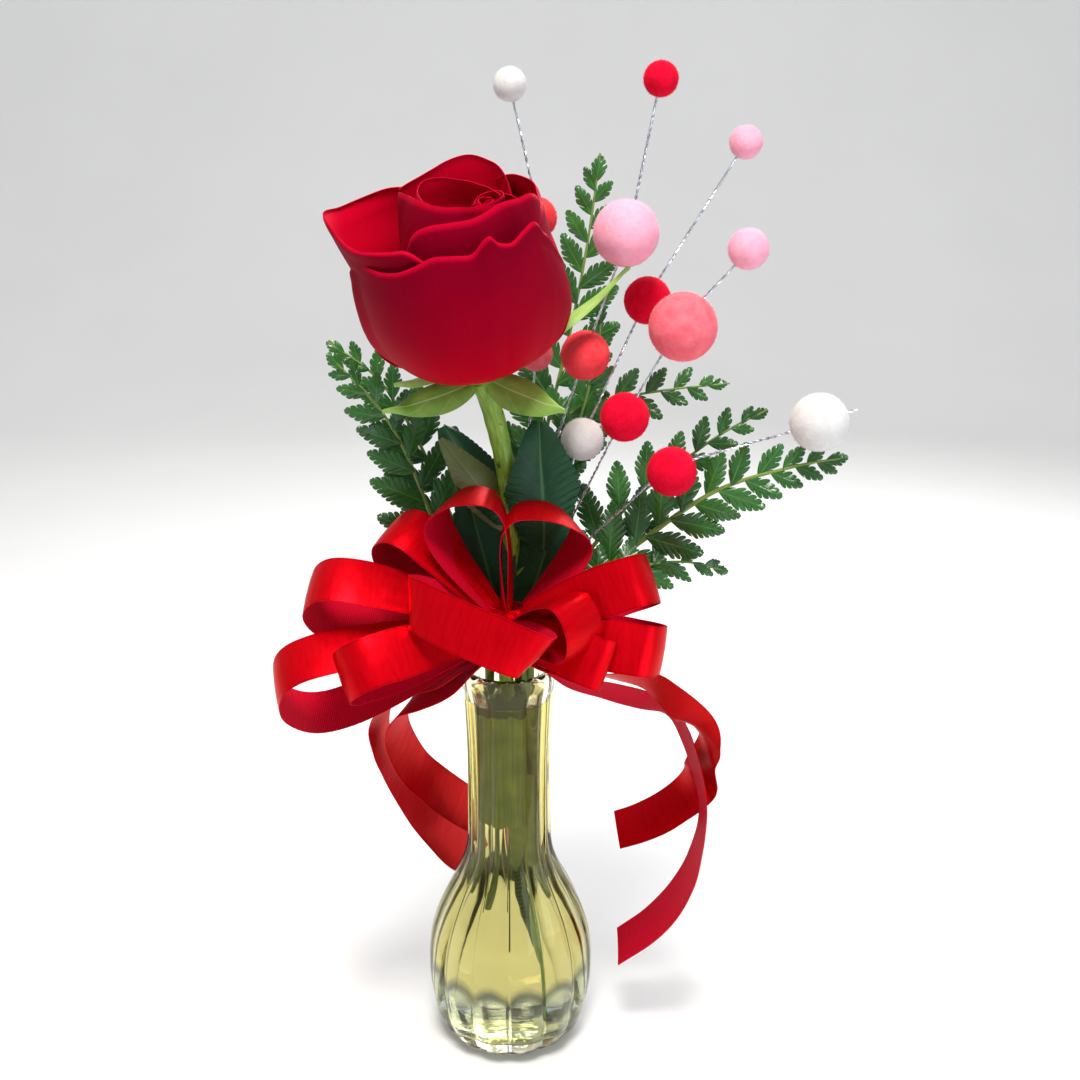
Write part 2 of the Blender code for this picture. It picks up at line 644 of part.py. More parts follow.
def make_ball(name, colour, centre, along, diameter):
    """A felt ball with a plain hole for its wire."""
    radius, hole = 0.5 * diameter * MM, WIRE_RADIUS + GAP
    edge = math.asin(hole / radius)
    turns = np.linspace(edge, math.pi - edge, 6)
    outer = [(radius * math.sin(t), radius * math.cos(t)) for t in turns]
    mesh = bpy.data.meshes.new(name)
    mesh.from_pydata([(r, 0, z) for r, z in outer], [(k, (k + 1) % 6) for k in range(6)], [])
    guide = add_object(name, mesh, WORK)
    screw = guide.modifiers.new("turn", "SCREW")
    screw.steps = screw.render_steps = 8
    screw.use_merge_vertices = True
    screw.merge_threshold = 0.01 * MM
    screw.use_normal_calculate = True
    solid = mesh_of(guide)
    bpy.data.objects.remove(guide)
    ball = add_object(name, solid, WORK)
    ball.location = centre
    ball.rotation_mode = "QUATERNION"
    ball.rotation_quaternion = along.to_track_quat("Z", "Y")
    return keep(ball, "ball_" + colour, 60)


def make_pick():
    """The wires, gathered in one taped stem, and the balls threaded on them."""
    foot, mouth, radius = stem_line("pick")
    gather = mouth + (mouth - foot).normalized() * 15 * MM
    pieces = [tube("pick_stem", [foot, mouth, gather], [radius] * 3, 6)]
    count = 0
    for k, (bend, balls, past) in enumerate(WIRES):
        centres = [Vector(place) * MM for _, place, _ in balls]
        bend = Vector(bend) * MM
        run = [gather - UP * 4 * MM, bend]
        for i, (colour, _, diameter) in enumerate(balls):
            before = centres[i - 1] if i else bend
            after = centres[i + 1] if i + 1 < len(centres) else 2 * centres[i] - before
            along = ((centres[i] - before).normalized() + (after - centres[i]).normalized()).normalized()
            half = 0.5 * diameter * MM + 0.8 * MM
            run += [centres[i] - along * half]
            run += [centres[i] + along * (half if i + 1 < len(centres) else past * MM)]
            count += 1
            make_ball(f"ball_{count:02d}", colour, centres[i], along, diameter)
        pieces.append(tube(f"wire_{k}", run, [WIRE_RADIUS] * len(run), 4))
    return keep(fuse("pick_wires", pieces), "wire")


# ---------------------------------------------------------------- ribbon


def ribbon(name, rows):
    """A strip of ribbon through rows of (middle, way its width lies, width)."""
    spots = np.array([row[0] for row in rows], float)
    run = np.gradient(spots, axis=0)
    run /= np.linalg.norm(run, axis=1)[:, None]
    edges = []
    for (spot, way, width), along in zip(rows, run):
        along = Vector(along)
        way = Vector(way)
        way = (way - along * way.dot(along)).normalized()
        edges.append((Vector(spot), way * 0.5 * width))

    def place(u, v):
        spot, half = edges[round(v * (len(edges) - 1))]
        return spot + half * u

    return blade(name, 1, len(rows) - 1, place, RIBBON_THICKNESS)


# Each loop: its tip in mm, the way its width lies, how far apart its two strands stand in mm, and how
# far the width turns about the loop's own line from one strand to the other, in degrees.
LOOPS = {
    "left_high": ((-86, -31, 242), (0.05, 0.80, 0.60), 34, 0),
    "left_top": ((-52, -20, 268), (0.50, 0.76, 0.40), 26, 10),
    "up_left": ((-18, -35, 288), (0.22, 0.96, 0.12), 30, -28),
    "up_right": ((20, -35, 281), (-0.14, 0.95, 0.24), 34, -28),
    "front": ((-16, -71, 242), (0.24, -0.05, 0.97), 60, 50),
    "small_right": ((33, -62, 239), (0.50, 0.86, 0.02), 24, 0),
    "low_front": ((43, -60, 221), (-0.05, 0.48, 0.86), 13, 0),
    "right_low": ((68, -43, 221), (-0.05, 0.30, 0.95), 30, -14),
    "right_high": ((64, -31, 250), (-0.42, 0.40, 0.82), 34, 20),
    "left_low": ((-99, -41, 198), (0.00, 0.80, 0.60), 44, 0),
    "left_inner": ((-68, -61, 216), (0.15, 0.62, 0.76), 28, 0),
}
# half a loop's outline, as shares of its length and of the distance between its strands
LOOP_SHAPE = [(0.02, 0.02), (0.32, 0.26), (0.64, 0.46), (0.84, 0.50), (0.95, 0.35), (1.0, 0.0)]


def loop_rows(tip, way, apart, turn):
    reach = Vector(tip) * MM - KNOT
    out = reach.normalized()
    way = Vector(way)
    way = (way - out * way.dot(out)).normalized()
    across = out.cross(way)
    outline = LOOP_SHAPE + [(far, -side) for far, side in LOOP_SHAPE[-2::-1]]
    rows = []
    for far, side in outline:
        width = RIBBON_WIDTH * (0.30 + 0.70 * smoothstep(0.05, 0.5, far))
        twist = Matrix.Rotation(math.radians(turn * side), 3, out)
        rows.append((KNOT + reach * far + across * (side * apart * MM), twist @ way, width))
    return rows


def make_bow():
    knot = turned("knot", [(0, -9), (5, -8.4), (7.5, -4), (7.5, 4), (5, 8.4), (0, 9)], 8)
    knot.data.transform(Matrix.Diagonal((MM, 0.8 * MM, MM, 1)))
    knot.data.transform(Matrix.Translation(KNOT))
    pieces = [knot] + [ribbon("loop_" + key, loop_rows(*loop)) for key, loop in LOOPS.items()]
    tied = Vector((TIE_CENTRE.x, TIE_CENTRE.y - TIE_RADIUS - 1 * MM - GAP, TIE_Z))
    fold = [KNOT, KNOT - FRONT * 9 * MM, tied + FRONT * 5 * MM + UP * 5 * MM, tied + FRONT * 2.5 * MM, tied]
    pieces.append(tube("knot_fold", fold, [3 * MM, 2.8 * MM, 2.4 * MM, 2.2 * MM, 2.2 * MM], 6))
    return keep(fuse("ribbon_bow", pieces), "ribbon", 30)


# Each tail: (x, y, z) points from under the knot to its end, and the way its width lies at each.
TAILS = {
    "tail_right_short": (
        [
            (2.5, -31, 219.6), (9, -31.8, 215.6), (20, -33.5, 211), (36, -35, 207.5), (50, -35.5, 205.8),
            (63, -37, 204), (71, -40, 199.5), (79, -40.5, 192), (85.5, -38, 184), (89, -34, 176),
            (91, -29, 168.5), (91.5, -22, 157.5), (91, -14, 146.5), (89.5, -7, 137), (84.5, -2, 128),
            (75, 1, 118.5), (64, 3, 111.5), (53, 4, 107),
        ],
        [
            (0, 1, 0), (0, 1, -0.1), (0, 0.97, -0.2), (0, 0.93, -0.35), (-0.1, 0.85, -0.5),
            (-0.25, 0.76, -0.6), (-0.3, 0.68, -0.66), (-0.3, 0.62, -0.72), (-0.2, 0.74, -0.64),
            (-0.1, 0.88, -0.46), (-0.07, 0.94, -0.32), (-0.25, 0.93, -0.27), (-0.45, 0.86, -0.25),
            (-0.5, 0.85, -0.12), (-0.5, 0.84, 0.1), (-0.42, 0.85, 0.28), (-0.3, 0.87, 0.36),
            (-0.15, 0.9, 0.4),
        ],
    ),
    "tail_right_long": (
        [
            (3.0, -31, 217.9), (9, -31, 213.0), (17, -29.5, 207), (30, -27, 199.5), (47.5, -22.5, 193),
            (62, -18, 186.5), (73, -16, 181), (79.5, -16, 174), (84, -19, 164), (87, -23, 155),
            (89, -26, 146.5), (90.4, -27, 134), (89.5, -26, 118), (86, -22, 98.5), (79, -16, 79),
            (68.5, -9, 61), (54, -3, 45),
        ],
        [
            (0, -1, 0), (0, -1, 0.1), (0, -0.9, 0.35), (0, -0.8, 0.6), (0, -0.73, 0.68), (0, -0.71, 0.7),
            (0.09, -0.8, 0.59), (0.22, -0.93, 0.27), (0.18, -0.95, 0.25), (0.13, -0.95, 0.27),
            (0.09, -0.95, 0.29), (0.02, -0.95, 0.3), (0.04, -0.95, 0.28), (0.16, -0.93, 0.3),
            (0.2, -0.97, 0.05), (0.14, -0.97, -0.15), (-0.05, -0.93, -0.35),
        ],
    ),
    "tail_left_short": (
        [
            (-0.5, -31, 218.3), (-13, -30.5, 210), (-26, -28, 200.5), (-38, -24.5, 192.5), (-47.5, -21, 184),
            (-51.3, -16, 173), (-50.2, -10, 160.5), (-45, -2, 144.5), (-36, 6, 130), (-27, 16, 116.5),
            (-19, 26, 105), (-11, 34, 96),
        ],
        [
            (0, -1, 0), (0, -0.99, -0.1), (0, -0.93, -0.35), (-0.1, -0.93, -0.3), (-0.16, -0.97, 0.1),
            (-0.33, -0.94, 0.1), (-0.4, -0.9, 0), (-0.45, -0.88, -0.1), (-0.45, -0.87, -0.2),
            (-0.42, -0.85, -0.3), (-0.34, -0.86, -0.35), (-0.3, -0.88, -0.35),
        ],
    ),
    "tail_left_long": (
        [
            (-1.0, -31, 219.6), (-14, -31, 213.5), (-30, -25, 204.3), (-44, -18.5, 197), (-54.5, -14.5, 187),
            (-59.5, -12.5, 174.5), (-59, -10, 161), (-56.4, -6, 150), (-51, 2, 133), (-44, 11, 114.5), (-36.5, 20, 98),
            (-29, 30, 82), (-20, 44, 67),
        ],
        [
            (0, -1, 0), (0, -0.99, -0.1), (0, -0.93, -0.35), (-0.1, -0.93, -0.3), (-0.2, -0.95, -0.1),
            (-0.3, -0.92, 0.15), (-0.26, -0.94, 0.22), (-0.28, -0.94, 0.18), (-0.34, -0.93, 0.1), (-0.42, -0.9, 0),
            (-0.42, -0.87, -0.2), (-0.4, -0.86, -0.3), (-0.35, -0.9, -0.25),
        ],
    ),
}
TAIL_ROWS = 16


def make_tail(key):
    path, ways = TAILS[key]
    points = smooth_path(np.hstack([np.array(path, float) * MM, np.array(ways, float)]), TAIL_ROWS, 0.75)
    shares = [k / (TAIL_ROWS - 1) for k in range(TAIL_ROWS)]
    widths = [RIBBON_WIDTH * (0.32 + 0.68 * smoothstep(0.0, 0.2, share)) for share in shares]
    tail = ribbon(key, [(Vector(row[:3]), Vector(row[3:]), width) for row, width in zip(points, widths)])
    tail.data = mesh_of(tail)
    tail.modifiers.clear()
    return keep(tail, "ribbon", 30)


def make_tie():
    """The thin ribbon tied round the stems, which holds the bow."""
    turns = 16
    inner, thickness, height = TIE_RADIUS, 1.0 * MM, 10 * MM
    profile = [(inner, -height), (inner, height), (inner + thickness, height), (inner + thickness, -height)]
    mesh = bpy.data.meshes.new("tie")
    mesh.from_pydata([(r, 0, z / 2) for r, z in profile], [(k, (k + 1) % 4) for k in range(4)], [])
    guide = add_object("tie", mesh, WORK)
    screw = guide.modifiers.new("turn", "SCREW")
    screw.steps = screw.render_steps = turns
    screw.use_merge_vertices = True
    screw.merge_threshold = 0.01 * MM
    screw.use_normal_calculate = True
    solid = mesh_of(guide)
    bpy.data.objects.remove(guide)
    solid.transform(Matrix.Translation(TIE_CENTRE + UP * TIE_Z))
    return keep(add_object("bow_tie", solid, WORK), "ribbon", 30)


# ---------------------------------------------------------------- leaf packed in the neck


def neck_leaf(name, thickness, margin=0.0):
    """A broad green leaf rolled inside the neck in front of the stems, or the room that it needs."""

    def place(u, v):
        angle = math.radians(-102) + u * (math.radians(50) + margin / NECK_LEAF_RADIUS)
        ragged = 1.5 * MM * math.cos(9 * u) if v > 0.99 and not margin else 0
        z = NECK_LEAF_FOOT - margin + (NECK_LEAF_TOP - NECK_LEAF_FOOT + 2 * margin) * v + ragged
        return Vector((NECK_LEAF_RADIUS * math.cos(angle), NECK_LEAF_RADIUS * math.sin(angle), z))

    return blade(name, 8, 2, place, thickness)


def make_neck_leaf():
    leaf = neck_leaf("neck_leaf", 0.8 * MM)
    leaf.data = mesh_of(leaf)
    leaf.modifiers.clear()
    return keep(leaf, "stem")


# ---------------------------------------------------------------- the part

clear_scene()
PART = new_collection("rose_in_bud_vase")
WORK = new_collection("work")


def main():
    make_vase()
    holes = [stem_hole(name) for name in STEMS] + [neck_leaf("hole_neck_leaf", 1.8 * MM, 0.6 * MM)]
    make_water(holes)
    for key in FRONDS:
        make_frond(key)
    make_bloom()
    make_rose_stem()
    make_pick()
    make_bow()
    for key in TAILS:
        make_tail(key)
    make_tie()
    make_neck_leaf()


main()
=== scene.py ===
import math
import random

import bpy
import numpy as np
from mathutils import Matrix, Vector


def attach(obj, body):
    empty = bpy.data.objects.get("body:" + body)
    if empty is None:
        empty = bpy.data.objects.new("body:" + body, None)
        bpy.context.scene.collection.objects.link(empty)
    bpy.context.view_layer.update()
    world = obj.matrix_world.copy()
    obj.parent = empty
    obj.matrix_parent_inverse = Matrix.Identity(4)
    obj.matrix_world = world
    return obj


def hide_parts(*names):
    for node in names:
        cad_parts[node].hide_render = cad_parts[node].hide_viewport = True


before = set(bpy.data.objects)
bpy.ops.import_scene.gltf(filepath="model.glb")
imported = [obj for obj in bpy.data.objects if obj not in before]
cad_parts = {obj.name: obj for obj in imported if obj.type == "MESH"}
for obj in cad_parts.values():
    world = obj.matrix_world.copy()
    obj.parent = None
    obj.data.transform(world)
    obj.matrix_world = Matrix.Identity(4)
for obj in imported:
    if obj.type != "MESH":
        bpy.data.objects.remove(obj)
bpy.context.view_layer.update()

# Lengths are in mm and places from the middle of the vase's foot, apart from those of the stage, in metres.
MM = 0.001
TURN = 2 * math.pi


# ---- meshes from arrays


def placed(name, data):
    obj = bpy.data.objects.new(name, data)
    bpy.context.scene.collection.objects.link(obj)
    return obj


class Shells:
    """Closed shells gathered into one mesh: points, faces with a material slot each, and for each point a
    flow vector (across, along, spare) and a tone that the materials read."""

    def __init__(self):
        self.points, self.flow, self.tone, self.faces, self.slots = [], [], [], [], []
        self.count = 0

    def add(self, points, faces, slots, flow=(0, 0, 0), tone=0.0):
        self.points.append(points)
        self.flow.append(np.broadcast_to(np.asarray(flow, float), (len(points), 3)))
        self.tone.append(np.full(len(points), float(tone)))
        self.faces += [tuple(index + self.count for index in face) for face in faces]
        self.slots += np.broadcast_to(slots, len(faces)).tolist()
        self.count += len(points)

    def build(self, name, materials, smooth, matrix=Matrix.Identity(4)):
        """The piece, moved by the matrix, with its edges above smooth degrees kept sharp."""
        turn = np.array(matrix)
        points = np.vstack(self.points) * MM @ turn[:3, :3].T + turn[:3, 3]
        mesh = bpy.data.meshes.new(name)
        mesh.from_pydata(points.tolist(), [], self.faces)
        mesh.polygons.foreach_set("material_index", np.array(self.slots, np.int32))
        flow = mesh.attributes.new("flow", "FLOAT_VECTOR", "POINT")
        flow.data.foreach_set("vector", np.vstack(self.flow).astype(np.float32).ravel())
        tone = mesh.attributes.new("tone", "FLOAT", "POINT")
        tone.data.foreach_set("value", np.concatenate(self.tone).astype(np.float32))
        mesh.shade_smooth()
        mesh.set_sharp_from_angle(angle=math.radians(smooth))
        for made in materials:
            mesh.materials.append(made)
        mesh.update()
        return placed(name, mesh)


def unit(vectors):
    return vectors / np.maximum(np.linalg.norm(vectors, axis=-1, keepdims=True), 1e-12)


def distances(path):
    """How far along a path each of its points lies."""
    return np.concatenate([[0], np.cumsum(np.linalg.norm(np.diff(path, axis=0), axis=1))])


def smoothstep(low, high, x):
    t = np.clip((np.asarray(x, float) - low) / (high - low), 0, 1)
    return t * t * (3 - 2 * t)


def catmull(points, spots):
    """Points at spots, counted in steps of the list, on a Catmull-Rom curve through the points."""
    p = np.array(points, float)
    k = np.clip(spots.astype(int), 0, len(p) - 2)
    t = (spots - k)[..., None]
    a, b, c, d = (p[np.clip(k + i, 0, len(p) - 1)] for i in (-1, 0, 1, 2))
    square, cube = 2 * a - 5 * b + 4 * c - d, 3 * b - a - 3 * c + d
    return 0.5 * (2 * b + (c - a) * t + square * t**2 + cube * t**3)


def smooth_path(points, count):
    """Count evenly spaced points on a Catmull-Rom curve through the points. Any columns past x, y and z go
    along with them."""
    p = np.array(points, float)
    p = np.vstack([2 * p[0] - p[1], p, 2 * p[-1] - p[-2]])
    parts = 24
    fine = catmull(p, 1 + np.arange(parts * (len(p) - 3) + 1) / parts)
    run = distances(fine[:, :3])
    wanted = np.linspace(0, run[-1], count)
    return np.stack([np.interp(wanted, run, column) for column in fine.T], 1)


def sheet_shell(shells, grid, thickness, flow, tone, slots):
    """A thin closed blade: a grid (rows, columns, 3) thickened both ways, front in slots[0]. Its flow is a
    grid or one number each for across, along and spare."""
    size = grid.shape[:2]
    index = np.arange(size[0] * size[1]).reshape(size)
    normals = unit(np.cross(np.gradient(grid, axis=1), np.gradient(grid, axis=0)))
    half = normals * 0.5 * np.broadcast_to(thickness, size)[..., None]
    quads = [part.ravel() for part in (index[:-1, :-1], index[:-1, 1:], index[1:, 1:], index[1:, :-1])]
    rim = np.concatenate([index[0, :-1], index[:-1, -1], index[-1, :0:-1], index[:0:-1, 0]])
    after = np.roll(rim, -1)
    faces = [*zip(*quads), *zip(*(part + index.size for part in quads[::-1]))]
    faces += zip(after, rim, rim + index.size, after + index.size)
    kinds = [slots[0]] * len(quads[0]) + [slots[1]] * len(quads[0]) + [slots[0]] * len(rim)
    flow = np.stack([np.broadcast_to(part, size) for part in flow], -1).reshape(-1, 3)
    points = np.vstack([(grid + half).reshape(-1, 3), (grid - half).reshape(-1, 3)])
    shells.add(points, faces, kinds, np.vstack([flow, flow]), tone)


def capped_shell(shells, rings, ends, slot, flow=(0, 0, 0)):
    """A closed solid from rings of points, (rings, sides, 3), and a point at either end."""
    index = np.arange(rings.shape[0] * rings.shape[1]).reshape(rings.shape[:2])
    after = np.roll(index, -1, axis=1)
    faces = list(zip(*(part.ravel() for part in (index[:-1], after[:-1], after[1:], index[1:]))))
    faces += [(b, a, index.size) for a, b in zip(index[0], after[0])]
    faces += [(a, b, index.size + 1) for a, b in zip(index[-1], after[-1])]
    shells.add(np.vstack([rings.reshape(-1, 3), ends]), faces, slot, flow)


def tube_shell(shells, path, radii, sides, slot):
    """A closed round tube along a path."""
    along = unit(np.gradient(path, axis=0))
    guide = np.array([0.0, 0.0, 1.0]) if abs(along[0][2]) < 0.9 else np.array([1.0, 0.0, 0.0])
    side = np.cross(along[0], guide)
    turns = np.linspace(0, TURN, sides, endpoint=False)
    rings, flow = [], []
    for spot, way, radius, far in zip(path, along, np.broadcast_to(radii, len(path)), distances(path)):
        side = unit(side - way * side.dot(way))
        other = np.cross(way, side)
        rings.append(spot + radius * (np.cos(turns)[:, None] * side + np.sin(turns)[:, None] * other))
        flow += [(turn / TURN, far, 0) for turn in turns]
    flow += [(0, 0, 0), (0, far, 0)]
    capped_shell(shells, np.array(rings), [path[0], path[-1]], slot, flow)


def lathe_shell(shells, rings, slot=0):
    """A closed solid from rings of points, the first and the last of which close to a point."""
    capped_shell(shells, rings[1:-1], [rings[0].mean(0), rings[-1].mean(0)], slot)


def turned(profile, sides):
    """Rings round the upright axis from radii, each one number or one for each side, and heights."""
    turns = np.linspace(0, TURN, sides, endpoint=False)
    return np.array([
        np.stack([r * np.cos(turns), r * np.sin(turns), np.full(sides, z)], 1) for r, z in profile])


def dress(obj, slot, *nodes):
    """The piece rides with the part and stands for the CAD nodes. Its slot is not used."""
    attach(obj, "root")
    if nodes:
        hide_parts(*nodes)
    return obj


# ---- materials


def node(tree, kind, inputs, **settings):
    made = tree.nodes.new(kind)
    for key, value in settings.items():
        setattr(made, key, value)
    for key, value in inputs.items():
        if isinstance(value, bpy.types.NodeSocket):
            tree.links.new(value, made.inputs[key])
        else:
            made.inputs[key].default_value = value
    return made


class Surface:
    """A Principled material with a few helpers for its node tree. Sockets are named with _ for a space."""

    def __init__(self, name, roughness, **sockets):
        self.material = bpy.data.materials.new(name)
        self.material.use_nodes = True
        self.tree = self.material.node_tree
        self.shader = self.tree.nodes["Principled BSDF"]
        for key, value in {"Roughness": roughness, **sockets}.items():
            self.shader.inputs[key.replace("_", " ")].default_value = value
        self.place = node(self.tree, "ShaderNodeTexCoord", {}).outputs["Object"]
        self.flow = node(self.tree, "ShaderNodeAttribute", {}, attribute_name="flow").outputs["Vector"]
        self.across, self.along, self.spare = self.parts(self.flow)
        self.tone = node(self.tree, "ShaderNodeAttribute", {}, attribute_name="tone").outputs["Fac"]

    def parts(self, vector):
        return node(self.tree, "ShaderNodeSeparateXYZ", {0: vector}).outputs

    def noise(self, scale, detail, vector=None):
        inputs = {"Scale": scale, "Detail": detail, "Roughness": 0.55, "Vector": vector or self.place}
        return node(self.tree, "ShaderNodeTexNoise", inputs).outputs["Fac"]

    def bands(self, vector, scale, distortion=0.0, direction="Y"):
        inputs = {"Vector": vector, "Scale": scale, "Distortion": distortion}
        return node(self.tree, "ShaderNodeTexWave", inputs, bands_direction=direction).outputs["Fac"]

    def math(self, operation, *values, clamp=False):
        inputs = dict(enumerate(values))
        return node(self.tree, "ShaderNodeMath", inputs, operation=operation, use_clamp=clamp).outputs[0]

    def weighed(self, value, weight, rest, clamp=False):
        return self.math("MULTIPLY_ADD", value, weight, rest, clamp=clamp)

    def scaled(self, across, along):
        inputs = {"Vector": self.flow, "Scale": (across, along, 1.0)}
        return node(self.tree, "ShaderNodeMapping", inputs, vector_type="POINT").outputs[0]

    def ramp(self, factor, *stops):
        """A colour ramp from stops: a position and a colour, or one number for a grey."""
        made = node(self.tree, "ShaderNodeValToRGB", {"Fac": factor})
        elements = made.color_ramp.elements
        while len(elements) < len(stops):
            elements.new(0.5)
        for element, (position, colour) in zip(elements, stops):
            element.position = position
            element.color = (*(np.ones(3) * colour), 1)
        return made.outputs["Color"]

    def mix(self, factor, a, b, blend="MIX"):
        a, b = (part if isinstance(part, bpy.types.NodeSocket) else (*part, 1) for part in (a, b))
        made = node(self.tree, "ShaderNodeMix", {}, data_type="RGBA", blend_type=blend)
        for key, value in ((0, factor), (6, a), (7, b)):
            if isinstance(value, bpy.types.NodeSocket):
                self.tree.links.new(value, made.inputs[key])
            else:
                made.inputs[key].default_value = value
        return made.outputs[2]

    def feed(self, name, socket):
        self.tree.links.new(socket, self.shader.inputs[name])

    def bump(self, height, strength, distance):
        inputs = {"Height": height, "Strength": strength, "Distance": distance}
        last = self.shader.inputs["Normal"]
        if last.is_linked:
            inputs["Normal"] = last.links[0].from_socket
        self.feed("Normal", node(self.tree, "ShaderNodeBump", inputs).outputs[0])
        return self


def petal_surface(name, root, middle, shade, lip_tone_and_highlight):
    """A petal's colour from its root through its middle to its top, and that of its lip, with light and
    shade painted in.
    Outside: a lighter root, a top darkened as painted shade under the rolled lip, and a painted highlight
    along the lip.
    Inside: a root darkened as painted shade deep in the bloom, growing lighter towards the top.
    """
    made = Surface(
        name, 0.6, Sheen_Weight=0.03, Sheen_Roughness=0.5, Sheen_Tint=(1.0, 0.05, 0.12, 1),
        Specular_IOR_Level=0.05, Specular_Tint=(1.0, 0.15, 0.20, 1))
    soft = made.math("SUBTRACT", made.noise(55, 2), 0.5)
    height = made.weighed(soft, 0.22, made.along)
    # Painted light and shade up the petal, from the root, middle and top colours passed in
    base = made.ramp(height, (0.05, root), (0.45, middle), (0.88, shade))
    # The lip colour: on the outside, a painted highlight along the rolled lip
    base = made.mix(made.ramp(made.along, (0.965, 0), (0.995, 1)), base, lip_tone_and_highlight)
    veins = made.noise(1.0, 3, made.scaled(22, 1.3))
    streak = made.ramp(veins, (0.30, 0.94), (0.7, 1.03))
    made.feed("Base Color", made.mix(1.0, base, streak, "MULTIPLY"))
    made.bump(veins, 0.06, 0.0005)
    return made.bump(made.noise(1500, 2), 0.10, 0.0002).material


# Outside: a lighter root, a darker top that is painted shade under the lip, and a lip that is a painted
# highlight
PETAL_OUT = petal_surface(
    "petal_outside", (0.46, 0.0, 0.006), (0.33, 0.0, 0.010), (0.19, 0.0, 0.011), (0.46, 0.001, 0.020))
# Inside: a dark root that is painted shade deep in the bloom, growing lighter towards the top
PETAL_IN = petal_surface(
    "petal_inside", (0.14, 0.0, 0.004), (0.56, 0.0, 0.015), (0.64, 0.001, 0.023), (0.58, 0.003, 0.026))


def satin_surface():
    """The bright side of the ribbon: threads along it, a darker line by either edge, and fine ribs."""
    made = Surface(
        "ribbon_satin", 0.30, Specular_IOR_Level=0.20, Metallic=0.55, Specular_Tint=(1.0, 0.16, 0.06, 1))
    threads = made.noise(1.0, 3, made.scaled(1.2, 0.7))
    streaks = made.noise(1.0, 4, made.scaled(1.5, 5))
    base = made.ramp(threads, (0.25, (0.50, 0.0, 0.004)), (0.75, (0.62, 0.001, 0.008)))
    edge = made.ramp(made.math("ABSOLUTE", made.across), (0.90, 1), (0.955, 0.72), (1.0, 1))
    made.feed("Base Color", made.mix(1.0, base, edge, "MULTIPLY"))
    made.feed("Roughness", made.weighed(streaks, 0.10, 0.25))
    made.bump(made.noise(1.0, 2, made.scaled(0.5, 0.12)), 0.25, 0.0009)
    made.bump(streaks, 0.10, 0.0003)
    return made.bump(made.bands(made.scaled(0, 1), 0.55, 0.6), 0.10, 0.00012).material


def ribbed_surface():
    """The dull back of the ribbon, ribbed across."""
    made = Surface(
        "ribbon_back", 0.6, Sheen_Weight=0.03, Sheen_Tint=(1.0, 0.2, 0.3, 1), Specular_IOR_Level=0.04,
        Specular_Tint=(1.0, 0.3, 0.35, 1))
    ribs = made.bands(made.scaled(0, 1), 0.38, 0.4)
    base = made.ramp(ribs, (0.1, (0.38, 0.0, 0.010)), (0.8, (0.60, 0.004, 0.026)))
    shade = made.ramp(made.noise(1.0, 2, made.scaled(40, 3)), (0.3, 0.85), (0.7, 1.06))
    made.feed("Base Color", made.mix(1.0, base, shade, "MULTIPLY"))
    return made.bump(ribs, 0.35, 0.0002).material


def leaf_surface(name, dark, light, vein, roughness, ribs, lean=1.1, lines=0.35, gloss=0.5):
    """A leaf with a midrib and side veins, as many as ribs, that lean forward and show by lines."""
    made = Surface(name, roughness, Specular_IOR_Level=gloss)
    body = made.weighed(made.noise(110, 3), 0.7, made.math("MULTIPLY", made.tone, 0.5))
    base = made.ramp(body, (0.15, dark), (0.75, light))
    reach = made.math("ABSOLUTE", made.across)
    row = made.weighed(made.along, ribs, made.math("MULTIPLY", reach, -lean))
    side = made.math("PINGPONG", made.math("ADD", row, 0.5), 0.5)
    side = made.weighed(side, -16.0, 1.0, clamp=True)
    middle = made.weighed(reach, -15.0, 1.0, clamp=True)
    veins = made.math("MAXIMUM", middle, made.math("MULTIPLY", side, lines))
    made.feed("Base Color", made.mix(veins, base, vein))
    made.bump(veins, 0.2, 0.0003)
    return made.bump(made.noise(1400, 2), 0.15, 0.0002).material


FERN_TOP = leaf_surface(
    "fern_upper", (0.006, 0.048, 0.010), (0.026, 0.125, 0.020), (0.08, 0.22, 0.04), 0.27, 1, 0.0, 0.18)
FERN_UNDER = leaf_surface(
    "fern_under", (0.025, 0.090, 0.018), (0.075, 0.190, 0.040), (0.14, 0.27, 0.08), 0.6, 1, 0.0, 0.3)
LEAF_TOP = leaf_surface(
    "leaf_upper", (0.003, 0.034, 0.012), (0.010, 0.078, 0.024), (0.05, 0.15, 0.04), 0.42, 9, 1.3, 0.16, 0.2)
LEAF_UNDER = leaf_surface(
    "leaf_under", (0.045, 0.060, 0.014), (0.110, 0.130, 0.034), (0.18, 0.19, 0.06), 0.55, 9, 1.3, 0.3)
SEPAL = leaf_surface(
    "sepal_green", (0.10, 0.25, 0.020), (0.33, 0.50, 0.11), (0.48, 0.62, 0.26), 0.5, 3, 1.0, 0.2, 0.3)


def stem_surface(name, dark, light, scars):
    made = Surface(name, 0.42, Specular_IOR_Level=0.45)
    streak = made.noise(1.0, 3, made.scaled(22, 0.12))
    base = made.ramp(streak, (0.3, dark), (0.7, light))
    if scars:
        spots = made.ramp(made.noise(260, 2), (0.64, 1), (0.70, (0.22, 0.14, 0.10)))
        base = made.mix(1.0, base, spots, "MULTIPLY")
    made.feed("Base Color", base)
    return made.bump(streak, 0.2, 0.0003).material


def neck_leaf_surface():
    """Ribbed green, dark along its torn top."""
    made = Surface("neck_leaf_green", 0.6, Specular_IOR_Level=0.15)
    ribs = made.noise(1.0, 3, made.scaled(16, 1.6))
    body = made.weighed(ribs, 0.65, made.math("MULTIPLY", made.noise(90, 3), 0.45))
    green = made.ramp(
        body, (0.35, (0.060, 0.130, 0.0)), (0.58, (0.160, 0.250, 0.0)), (0.78, (0.34, 0.42, 0.02)))
    torn = made.ramp(made.weighed(made.noise(150, 4), 0.16, made.along), (0.905, 0), (0.915, 1))
    made.feed("Base Color", made.mix(torn, green, (0.020, 0.035, 0.004)))
    return made.bump(ribs, 0.4, 0.0005).material


